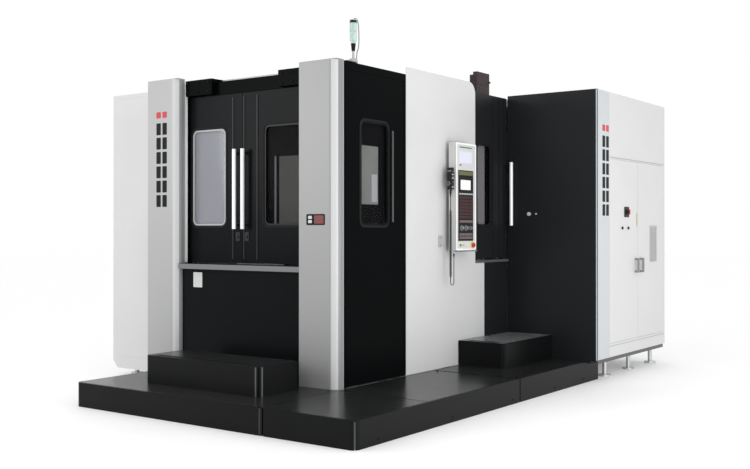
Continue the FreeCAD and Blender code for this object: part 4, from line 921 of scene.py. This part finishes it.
# ---------------------------------------------------------------- hand unit
start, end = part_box("pendant")
foot = end.z - 0.225
front = low("pendant_wheel").y + 0.0163
bands = bmesh.new()
for z in (foot + 0.020, foot + 0.112, foot + 0.150):
    block(bands, (start.x - 0.001, front + 0.006, z), (end.x + 0.001, front + 0.040, z + 0.010))
place("pendant_bands", bands, "panel", white, 0.001)
picks = bmesh.new()
profile = [(0, 0), (0.010, 0), (0.008, -0.011), (0, -0.011)]
for x in (start.x + 0.015, end.x - 0.015):
    lathe(picks, "y", (x, front, foot + 0.190), profile, 16)
for z in (0.075, 0.135, 0.185):
    knob(picks, "x", (end.x, front + 0.024, foot + z), 0.007, 0.006, 16)
place("pendant_knobs", picks, "panel", grey, 0)
wheel = bmesh.new()
start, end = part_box("pendant_wheel")
x, y, z = (start.x + end.x) / 2, start.y, (start.z + end.z) / 2
rim_corners = [(0.014, 0), (0.021, 0), (0.021, -0.002), (0.014, -0.002), (0.014, 0)]
lathe(wheel, "y", (x, y, z), rim_corners)
lathe(wheel, "y", (x + 0.014, y, z), [(0, 0), (0.005, 0), (0.006, -0.013), (0, -0.015)], 14)
place("handwheel_grip", wheel, "handwheel", grey, 0)

# ---------------------------------------------------------------- electrical cabinet
VENT = (2.660, 1.285, 2.858, 1.702)
VENT_SLATS = 22
KNOB_HEIGHT = 1.683
WALL_KNOBS = ((1.547, 0.022, -0.024), (1.634, 0.010, -0.010))
WALL_KNOB_HEIGHT = 1.842
start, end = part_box("electrical_cabinet")
face = end.x
door_start, door_meet = low("cabinet_front_door").y, high("cabinet_front_door").y
area = (start.y + 0.006, start.z + 0.006, door_start - 0.016, end.z - 0.006)
plates("cabinet_edge_strip", "root", edge_white, "x", face, 0.003, [area])
trim(
    "cabinet_trim", "x", face + 0.003, TRIM_PROUD, start.y + 0.120, start.y + 0.295,
    1.818, 0.965, (2.752, 2.822),
)
head = high("cabinet_front_door").z + 0.006
areas = [
    (door_start, head, end.y - 0.02, head + 0.006),
    (start.y + 0.02, start.z + 0.120, end.y - 0.02, start.z + 0.125),
]
plates("cabinet_seams", "root", grey, "x", face, 0.0008, areas, 0, 0)
switch = (low("main_switch") + high("main_switch")) / 2
ring_plate = bmesh.new()
outer = rounded(switch.y - 0.072, switch.z - 0.060, switch.y + 0.072, switch.z + 0.060, 0.008)
inner = rounded(switch.y - 0.036, switch.z - 0.036, switch.y + 0.036, switch.z + 0.036, 0.0355)
hoop(ring_plate, "x", outer, inner, face, face + 0.004)
place("switch_plate", ring_plate, "cabinet_front_leaf", plastic, 0.001)
grip = bmesh.new()
x, y, z = high("main_switch").x, switch.y, switch.z
block(grip, (x, y - 0.006, z - 0.030), (x + 0.012, y + 0.006, z + 0.030))
place("switch_grip", grip, "switch_knob", red, 0.002)
knobs = bmesh.new()
for y in (door_start + 0.354, door_start + 0.534):
    knob(knobs, "x", (face, y, KNOB_HEIGHT), 0.017, 0.014)
place("cabinet_knobs", knobs, "cabinet_front_leaf", plastic, 0)
latch = bmesh.new()
plate(latch, "x", (door_meet - 0.042, 1.707, door_meet - 0.012, 1.861), face, 0.008, 0.010)
knob(latch, "x", (face + 0.008, door_meet - 0.027, 1.745), 0.009, 0.006)
place("cabinet_latch", latch, "cabinet_front_leaf", yellowish, 0.002)
vent = bmesh.new()
louver(vent, "x", face, 0.010, VENT, VENT_SLATS)
place("cabinet_louver", vent, "cabinet_rear_leaf", grey_vent, 0)
border = bmesh.new()
outer = rounded(*inset(VENT, -0.012, -0.013, -0.012, -0.013), 0.008)
inner = rounded(*inset(VENT, 0, -0.001, 0, -0.001), 0.003)
hoop(border, "x", outer, inner, face, face + 0.006)
place("cabinet_louver_frame", border, "cabinet_rear_leaf", pale_grey)
start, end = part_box("cabinet_side_wall")
wall = bmesh.new()
for x, radius, height in WALL_KNOBS:
    knob(wall, "y", (x, start.y, WALL_KNOB_HEIGHT), radius, height)
place("wall_knobs", wall, "root", pale_grey, 0)
# Painted highlight: a light strip at the wall's outer end stands in for the highlight on the cabinet's
# rounded edge.
hem = bmesh.new()
block(hem, (end.x - 0.012, start.y - 0.003, start.z + 0.01), (end.x, start.y, end.z - 0.004))
place("wall_end_painted_highlight", hem, "root", edge_white, 0.001)

# ---------------------------------------------------------------- magazine cover
SHEET_THICK = 0.006
SHEET_GAP = 0.02
SLAT_PROUD = 0.008
start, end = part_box("magazine_cover")
outer_face = start.x - SHEET_THICK
third = (end.y - start.y - 0.16) / 3
sheets, fittings, vents = bmesh.new(), bmesh.new(), bmesh.new()
area = inset(across("magazine_cover", "y"), 0.10, 0.14, 0.030, 0.05)
plate(sheets, "y", area, start.y, -0.004, 0.012)
for n in range(3):
    y0 = start.y + 0.06 + n * (third + SHEET_GAP)
    y1 = y0 + third
    plate(sheets, "x", (y0, start.z + 0.16, y1, end.z - 0.08), start.x, -SHEET_THICK, 0.015)
    plate(sheets, "z", (start.x + 0.08, y0, end.x - 0.08, y1), end.z, 0.004, 0.015)
    for z in (start.z + 0.30, end.z - 0.25):
        for y in (y0 + 0.06, y1 - 0.06):
            knob(fittings, "x", (outer_face, y, z), 0.016, -0.008, 16)
    grip_slot(fittings, "x", y0 + third / 2, 1.10, 1.30, outer_face, -0.008)
    louver(vents, "x", outer_face, -SLAT_PROUD, (y0 + 0.25, 0.45, y1 - 0.25, 0.80), 14)
place("magazine_sheets", sheets, "root", white, 0.0025)
place("magazine_fittings", fittings, "root", plastic, 0.001)
place("magazine_louvers", vents, "root", white, 0)

# ---------------------------------------------------------------- roof
start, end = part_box("roof_panel")
roof_z = end.z
battens = bmesh.new()
for n in range(5):
    y = start.y + 0.25 + n * (end.y - start.y - 0.5) / 4
    block(battens, (start.x + 0.04, y - 0.03, roof_z), (end.x - 0.12, y + 0.03, roof_z + 0.006))
place("roof_seams", battens, "root", edge_white, 0.002)
motor_low, motor_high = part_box("roof_motor")
duct = bmesh.new()
for x0, y0, x1, y1 in (
    (motor_high.x + 0.02, motor_low.y + 0.06, end.x - 0.14, motor_low.y + 0.18),
    (end.x - 0.30, motor_low.y + 0.20, end.x - 0.18, end.y - 0.10),
):
    block(duct, (x0, y0, roof_z + 0.007), (x1, y1, roof_z + 0.067))
place("roof_duct", duct, "root", pale_grey, 0.004)
eyes = bmesh.new()
profile = [(0, 0), (0.032, 0), (0.032, 0.012), (0.014, 0.018), (0.014, 0.034), (0, 0.034)]
for x in (start.x + 0.35, end.x - 0.35):
    for y in (start.y + 0.45, end.y - 0.45):
        lathe(eyes, "z", (x, y, roof_z), profile, 20)
        eye = (x - 0.036, roof_z + 0.03, x + 0.036, roof_z + 0.102)
        outer, inner = rounded(*eye, 0.0355), rounded(*inset(eye, 0.016), 0.0195)
        hoop(eyes, "y", outer, inner, y - 0.009, y + 0.009)
place("lifting_eyes", eyes, "root", zinc, 0.002)
vents = bmesh.new()
x, y0, y1 = motor_high.x - 0.040, motor_low.y + 0.040, motor_high.y - 0.040
louver(vents, "x", x, 0.004, (y0 + 0.05, roof_z + 0.06, y1 - 0.05, roof_z + 0.28), 9)
area = (x - 0.090, roof_z + 0.325, x - 0.015, roof_z + 0.405)
louver(vents, "y", y0 - 0.004, -0.003, area, 5)
for foot_x in (motor_low.x + 0.02, motor_high.x - 0.02):
    for foot_y in (motor_low.y + 0.02, motor_high.y - 0.02):
        screw(vents, "z", (foot_x, foot_y, roof_z + 0.03), 0.009)
for z in (roof_z + 0.32, roof_z + 0.41):
    for y in (y0 + 0.02, y1 - 0.06):
        screw(vents, "x", (x + 0.004, y, z), 0.006)
gland = [(0, 0), (0.011, 0), (0.011, 0.020), (0, 0.022)]
lathe(vents, "x", (x, y1 - 0.012, roof_z + 0.35), gland, 16)
place("roof_motor_louvers", vents, "root", maroon, 0)

# ---------------------------------------------------------------- signal lamp
LENS_RIBS = 20
GUARD_TURN = math.radians(36)
GUARD_REACH = 0.050
GUARD_THICK = 0.0048
x, y = ((low("lamp_lens") + high("lamp_lens")) / 2)[:2]
foot, top = low("lamp_lens").z, high("lamp_lens").z
rings = bmesh.new()
profile = [(0.0325, 0), (0.0345, 0), (0.0345, 0.008), (0.0325, 0.008), (0.0325, 0)]
for height in (0.187, 0.285):
    lathe(rings, "z", (x, y, foot + height), profile)
lathe(rings, "z", (x, y, foot + 0.012), [(0, 0), (0.012, 0), (0.012, 0.25), (0, 0.25)])
place("lamp_rings", rings, "root", edge_white, 0)
ribs = bmesh.new()
for a, b in circle(x, y, 0.033, LENS_RIBS):
    lathe(ribs, "z", (a, b, foot + 0.100), [(0, 0), (0.0012, 0), (0.0012, 0.170), (0, 0.170)], 6)
place("lamp_ribs", ribs, "root", lens, 0)
cap = bmesh.new()
profile = [(0, 0), (0.0345, 0), (0.0345, 0.012), (0.020, 0.030), (0, 0.031)]
lathe(cap, "z", (x, y, top - 0.026), profile)
lathe(cap, "z", (x, y, foot), [(0, 0), (0.0158, 0), (0.0235, 0.070), (0, 0.070)])
place("lamp_cap", cap, "root", black_satin, 0)
base = low("lamp_base").z
points = [
    (x + reach * math.cos(GUARD_TURN), y + reach * math.sin(GUARD_TURN), z)
    for reach, z in (
        (GUARD_REACH * 0.6, base + 0.070),
        (GUARD_REACH * 0.6, base + 0.130),
        (GUARD_REACH * 1.1, base + 0.190),
        (GUARD_REACH, top - 0.046),
        (GUARD_REACH * 0.7, top + 0.014),
        (0, top + 0.014),
        (0, top),
    )
]
guard = curve("lamp_guard", points, GUARD_THICK)
guard.data.materials.append(grey)
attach(guard, "root")

# ---------------------------------------------------------------- back
sheets, fittings, vents = bmesh.new(), bmesh.new(), bmesh.new()


def back_sheet(x, width, foot, head, back, screw_heights, vent_feet):
    """A screwed sheet with two louvers on the back."""
    face = back + SHEET_THICK
    plate(sheets, "y", (x, foot, x + width, head), back, SHEET_THICK, 0.02)
    for z in screw_heights:
        for along in (x + 0.05, x + width - 0.05):
            screw(fittings, "y", (along, face, z), 0.011)
    for z in vent_feet:
        louver(vents, "y", face, SLAT_PROUD, (x + 0.25, z, x + width - 0.25, z + 0.40), 16)


start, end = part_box("enclosure_frame")
back = end.y
width = (end.x - start.x - 0.16) / 2
for n in range(2):
    x = start.x + 0.06 + n * (width + 0.04)
    back_sheet(x, width, 0.30, 2.95, back, (0.45, 1.6, 2.8), (0.50, 2.30))
    grip_slot(fittings, "y", x + width - 0.11, 1.25, 1.45, back + SHEET_THICK, 0.008)
start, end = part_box("electrical_cabinet")
width = end.x - start.x - 0.12
back_sheet(start.x + 0.06, width, 0.45, 3.05, end.y, (0.60, 1.75, 2.90), (2.35, 0.60))
profile = [(0, 0), (0.045, 0), (0.045, 0.012), (0.030, 0.012), (0.030, 0.040), (0.022, 0.040)]
for n in range(3):
    at = (start.x - 0.30 - 0.16 * n, back, 0.18)
    lathe(fittings, "y", at, profile + [(0.022, 0.020), (0, 0.020)])
place("back_sheets", sheets, "root", white, 0.0025)
place("back_fittings", fittings, "root", zinc, 0)
place("back_louvers", vents, "root", pale_grey, 0)

# ---------------------------------------------------------------- platform
TREAD_INSET = 0.014
TREAD_CORNER = 0.03
TREAD_THICK = 0.0015
STEP_CORNER = 0.050
FOLD_CORNER = 0.022
PLATFORMS = ("platform_front", "platform_corner", "platform_side")
STEPS = (("step_front", tread), ("step_side", step_tread_painted_reflection))


def tread_sheet(mesh, x0, y0, x1, y1, top):
    plate(mesh, "z", inset((x0, y0, x1, y1), TREAD_INSET), top, TREAD_THICK, TREAD_CORNER)


sheets = bmesh.new()
front, corner, side = (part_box(name) for name in PLATFORMS)
top = front[1].z
tread_sheet(sheets, *across("platform_front", "z"), top)
tread_sheet(sheets, corner[0].x, corner[0].y, corner[1].x, pillar_face - 0.004, top)
tread_sheet(sheets, side[0].x, pillar_face - 0.020, corner[1].x, corner[1].y, top)
wall_y = low("cabinet_side_wall").y + 0.010
tread_sheet(sheets, side[0].x, side[0].y, side[1].x, wall_y, top)
place("platform_sheets", sheets, "root", tread, 0.0005)
for name, finish in STEPS:
    sheets = bmesh.new()
    tread_sheet(sheets, *across(name, "z"), high(name).z)
    place(f"{name}_sheet", sheets, "root", finish, 0.0005)
# Painted shadow: a dim grey plinth ring under the cabinet's bottom stands in for the dark band beneath
# it.
plinth = bmesh.new()
start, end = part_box("electrical_cabinet")
area = inset(across("electrical_cabinet", "z"), 0.03, 0.03, 0.012, 0.03)
hoop(plinth, "z", rounded(*area), rounded(*inset(area, 0.02)), start.z - 0.045, start.z)
place("cabinet_plinth_shadow", plinth, "root", dim_grey, 0.002)
# Painted highlights: lighter grey strips on the rounded corners of the front step and of the front
# platform's end.
strips = bmesh.new()
start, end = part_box("step_front")
x, y = end.x - STEP_CORNER, start.y + STEP_CORNER
for turn in (-88, -18):
    foot, head = start.z + 0.003, end.z - 0.006
    corner_band(strips, x, y, STEP_CORNER, turn, turn + 16, foot, head, 0.0008)
x, y = front[1].x - FOLD_CORNER, front[0].y + FOLD_CORNER
corner_band(strips, x, y, FOLD_CORNER, -90, -30, 0.012, top - 0.006, 0.0008)
place("corner_painted_highlights", strips, "root", painted_highlight_grey, 0)
joint = bmesh.new()
start = corner[0]
x, y, head = start.x + FOLD_CORNER, start.y + FOLD_CORNER, start.z + 0.224
corner_band(joint, x, y, FOLD_CORNER, -178, -90, 0.004, head, 0.0006)
plate(joint, "y", (x, 0.004, start.x + 0.045, 0.224), start.y - 0.0006, 0.0016)
place("platform_joint_strip", joint, "root", seal, 0)
treads = bmesh.new()
for name, finish in STEPS:
    start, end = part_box(name)
    for n in range(3):
        y = start.y + 0.03 + 0.022 * n
        area = (start.x + 0.10, y, end.x - 0.10, y + 0.01)
        plate(treads, "z", area, end.z + TREAD_THICK, 0.0015)
place("step_treads", treads, "root", black_satin, 0.0005)
bolts = bmesh.new()
for start, end in (front, corner, side):
    for x in (start.x + 0.09, end.x - 0.09):
        screw(bolts, "z", (x, end.y - 0.06, end.z + TREAD_THICK), 0.010)
start, end = corner[0], side[1]
for y in (start.y + 0.30, start.y + 1.40, start.y + 2.50, end.y - 1.10, end.y - 0.40):
    screw(bolts, "x", (end.x, y, 0.045), 0.010)
place("platform_screws", bolts, "root", black_satin, 0)

# ---------------------------------------------------------------- spindle and column
spindle = (low("spindle") + high("spindle")) / 2
centre = (spindle.x, spindle.z)
nose, head_face = low("spindle").y, low("spindle_head").y
mesh = bmesh.new()
ring(mesh, centre, 0.098, 0.052, nose - 0.003, nose + 0.001)
ring(mesh, centre, 0.046, 0.036, nose - 0.001, nose + 0.003)
ring_bolts(mesh, (spindle.x, nose - 0.003, spindle.z), 0.080, 8, 0.007)
for x in (spindle.x - 0.060, spindle.x + 0.060):
    area = (x - 0.013, spindle.z - 0.012, x + 0.013, spindle.z + 0.012)
    plate(mesh, "y", area, nose - 0.012, 0.012)
place("spindle_nose_ring", mesh, "spindle_shaft", steel, 0.0008)
collar = bmesh.new()
ring(collar, centre, 0.190, 0.112, head_face - 0.026, head_face + 0.001, sides=48)
ring_bolts(collar, (spindle.x, head_face - 0.026, spindle.z), 0.172, 12, 0.009)
place("spindle_collar", collar, "head", casting, 0.003)
nozzles = bmesh.new()
profile = [(0, -0.026), (0.013, -0.026), (0.013, -0.038), (0.006, -0.052), (0.006, -0.078)]
for x, z in circle(*centre, 0.140, 6):
    lathe(nozzles, "y", (x, head_face, z), profile + [(0, -0.078)], 16)
place("coolant_nozzles", nozzles, "head", brass, 0.0005)
start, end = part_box("column")
rails = bmesh.new()
foot, tall = start.z + 0.14, end.z - start.z - 0.26
for x in (low("spindle_head").x - 0.085, high("spindle_head").x + 0.045):
    plate(rails, "z", (x, start.y - 0.030, x + 0.040, start.y), foot, tall)
    plate(rails, "z", (x - 0.008, start.y - 0.018, x + 0.048, start.y - 0.010), foot, tall)
    for n in range(14):
        screw(rails, "y", (x + 0.020, start.y - 0.030, start.z + 0.20 + 0.125 * n), 0.008, -1)
place("column_rails", rails, "moving_column", steel, 0.001)
ribs = bmesh.new()
for n in range(5):
    z = start.z + 0.22 + 0.38 * n
    for face, out in ((start.x, -0.014), (end.x, 0.014)):
        plate(ribs, "x", (start.y + 0.06, z, end.y - 0.06, z + 0.045), face, out, 0.01)
area = (start.x + 0.07, end.z - 0.20, end.x - 0.07, end.z - 0.06)
plate(ribs, "y", area, start.y - 0.012, 0.012, 0.02)
plate(ribs, "z", inset(across("column", "z"), 0.30, 0.25, 0.30, 0.25), end.z, 0.060, 0.05)
place("column_ribs", ribs, "moving_column", casting, 0.004)

# ---------------------------------------------------------------- pallets
HOLE_PITCH = 0.200
MARK = 0.0012
for name in ("setup_pallet", "machine_pallet"):
    start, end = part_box(name)
    top = end.z
    marks = bmesh.new()
    middle_x, middle_y = (start.x + end.x) / 2, (start.y + end.y) / 2
    for x in (middle_x - HOLE_PITCH, middle_x + HOLE_PITCH):
        for y in (middle_y - HOLE_PITCH, middle_y + HOLE_PITCH):
            ring(marks, (x, y), 0.018, 0.0085, top, top + MARK, "z")
    for x in (start.x + 0.045, end.x - 0.053):
        plate(marks, "z", (x, start.y + 0.03, x + 0.008, end.y - 0.03), top, MARK)
    for y in (start.y + 0.045, end.y - 0.053):
        plate(marks, "z", (start.x + 0.06, y, end.x - 0.06, y + 0.008), top, MARK)
    knob(marks, "z", (middle_x, middle_y, top), 0.032, 0.006)
    for x in (start.x + 0.10, end.x - 0.10):
        area = (x - 0.045, start.z + 0.03, x + 0.045, top - 0.025)
        plate(marks, "y", area, start.y, -0.004, 0.012)
    place(f"{name}_marks", marks, "changer", dark_steel, 0.0004)

# ---------------------------------------------------------------- tool magazine and arm
POCKETS = 24
DISC_RIM = 0.060
JAW_REACH = 0.060
start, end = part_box("tool_disc")
x, z, disc_face = (start.x + end.x) / 2, (start.z + end.z) / 2, start.y
holders, cutters, hub = bmesh.new(), bmesh.new(), bmesh.new()
holder = [(0, 0.085), (0.020, 0.085), (0.030, 0.004), (0.044, 0.004), (0.044, -0.008)]
holder += [(0.037, -0.013), (0.044, -0.018), (0.044, -0.032), (0.026, -0.036)]
holder += [(0.024, -0.095), (0, -0.095)]
for n, (a, b) in enumerate(circle(x, z, (end.x - start.x) / 2 - DISC_RIM, POCKETS)):
    lathe(holders, "y", (a, disc_face, b), holder, 20)
    reach = 0.150 + 0.035 * (n * 7 % 4)
    thin = 0.005 + 0.002 * (n * 5 % 4)
    tool = [(0, -0.094), (thin, -0.094), (thin, -reach), (thin * 0.4, -reach - 0.008)]
    lathe(cutters, "y", (a, disc_face, b), tool + [(0, -reach - 0.008)], 12)
place("tool_holders", holders, "magazine_disc", steel, 0)
place("cutting_tools", cutters, "magazine_disc", dark_steel, 0)
profile = [(0, 0), (0.15, 0), (0.15, -0.012), (0.12, -0.020), (0, -0.020)]
lathe(hub, "y", (x, disc_face, z), profile, 40)
ring_bolts(hub, (x, disc_face - 0.018, z), 0.105, 8, 0.009)
place("disc_hub", hub, "magazine_disc", dark_steel, 0.001)
start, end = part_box("atc_arm")
jaws = bmesh.new()
x, y = (start.x + end.x) / 2, start.y
for z, way in ((start.z + JAW_REACH, -1), (end.z - JAW_REACH, 1)):
    ring(jaws, (x, z), 0.052, 0.036, y - 0.012, y)
    block(jaws, (x - 0.030, y - 0.014, z - way * 0.16), (x + 0.030, y - 0.0005, z - way * 0.08))
ring_bolts(jaws, (x, y, (start.z + end.z) / 2), 0.042, 6, 0.006)
place("exchange_jaws", jaws, "exchange_arm", dark_steel, 0.001)

# ---------------------------------------------------------------- drives in the cabinet
DRIVE_START = 0.3697
DRIVE_PITCH = 0.300
DRIVES = ((0.450, 0.260, 0.420), (1.150, 0.200, 0.380), (1.800, 0.120, 0.260))
start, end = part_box("drive_plate")
x = start.x + 0.008
ducts, terminals, fins = bmesh.new(), bmesh.new(), bmesh.new()
for z in (start.z + 0.30, start.z + 0.98, start.z + 1.66, start.z + 2.10):
    plate(ducts, "x", (start.y + 0.10, z, end.y - 0.10, z + 0.060), x, 0.070, 0.004)
    for n in range(46):
        y = start.y + 0.13 + 0.039 * n
        plate(ducts, "x", (y, z + 0.006, y + 0.016, z + 0.054), x + 0.070, 0.0025)
for n in range(44):
    y = start.y + 0.14 + 0.040 * n
    plate(terminals, "x", (y, start.z + 0.16, y + 0.034, start.z + 0.24), x, 0.050, 0.004)
for n in range(5):
    y = start.y + DRIVE_START + DRIVE_PITCH * n
    for height, deep, tall in DRIVES:
        face = x - 0.001 + deep
        foot = low("electrical_cabinet").z + height
        head = foot + tall
        for row in range(5):
            z = head - 0.035 - 0.016 * row
            plate(fins, "x", (y + 0.03, z, y + 0.21, z + 0.007), face, 0.004)
        plate(fins, "x", (y + 0.06, foot + 0.05, y + 0.18, head - 0.17), face, 0.003, 0.006)
place("wire_ducts", ducts, "root", pale_grey, 0)
place("terminal_rows", terminals, "root", olive, 0.001)
place("drive_fronts", fins, "root", black_satin, 0)

# ---------------------------------------------------------------- work lights
lights, diffusers = bmesh.new(), bmesh.new()
ceiling = low("roof_panel").z
for y in (low("setup_pallet").y + 0.10, low("machine_pallet").y + 0.30, low("machine_pallet").y + 0.95):
    area = (-0.55, y, 0.65, y + 0.10)
    plate(lights, "z", area, ceiling - 0.045, 0.044, 0.012)
    area = inset(area, 0.02, 0.012, 0.02, 0.012)
    plate(diffusers, "z", area, ceiling - 0.052, 0.008, 0.010)
place("work_light_housings", lights, "root", pale_grey, 0.003)
place("work_lights", diffusers, "root", glow, 0.002)

# ---------------------------------------------------------------- floor and light
FLOOR_REACH = 60.0
floor_mesh = bmesh.new()
block(floor_mesh, (-FLOOR_REACH, -FLOOR_REACH, -0.02), (FLOOR_REACH, FLOOR_REACH, -0.0005))
floor_data = bpy.data.meshes.new("floor")
floor_mesh.to_mesh(floor_data)
floor_mesh.free()
floor_data.materials.append(
    surface(
        "floor_paint", (0.88, 0.88, 0.88), 0.7, tint=0.01, bump=0.0,
        Emission_Color=(1, 1, 1, 1), Emission_Strength=0.10,
    )
)
floor = bpy.data.objects.new("floor", floor_data)
bpy.context.collection.objects.link(floor)

world = bpy.data.worlds.new("studio")
bpy.context.scene.world = world
world.use_nodes = True
sky = world.node_tree.nodes["Background"]
sky.inputs["Color"].default_value = (1.0, 1.0, 1.0, 1)
sky.inputs["Strength"].default_value = 1.0
bpy.context.scene.view_settings.view_transform = "Standard"


def softbox(name, position, target, width, height, power):
    data = bpy.data.lights.new(name, "AREA")
    data.shape = "RECTANGLE"
    data.size, data.size_y = width, height
    data.energy = power
    light = bpy.data.objects.new(name, data)
    bpy.context.collection.objects.link(light)
    light.location = position
    aim = Vector(target) - Vector(position)
    light.rotation_euler = aim.to_track_quat("-Z", "Y").to_euler()


softbox("key", (10.0, -4.0, 6.0), (0.5, 0, 1.5), 5, 4, 110)
softbox("low_fill", (7.5, -2.5, 1.2), (1.3, -0.5, 0.8), 3, 1.2, 140)
softbox("left_fill", (-4.2, -7.5, 3.5), (-1.2, -2.1, 1.8), 2.5, 3, 115)
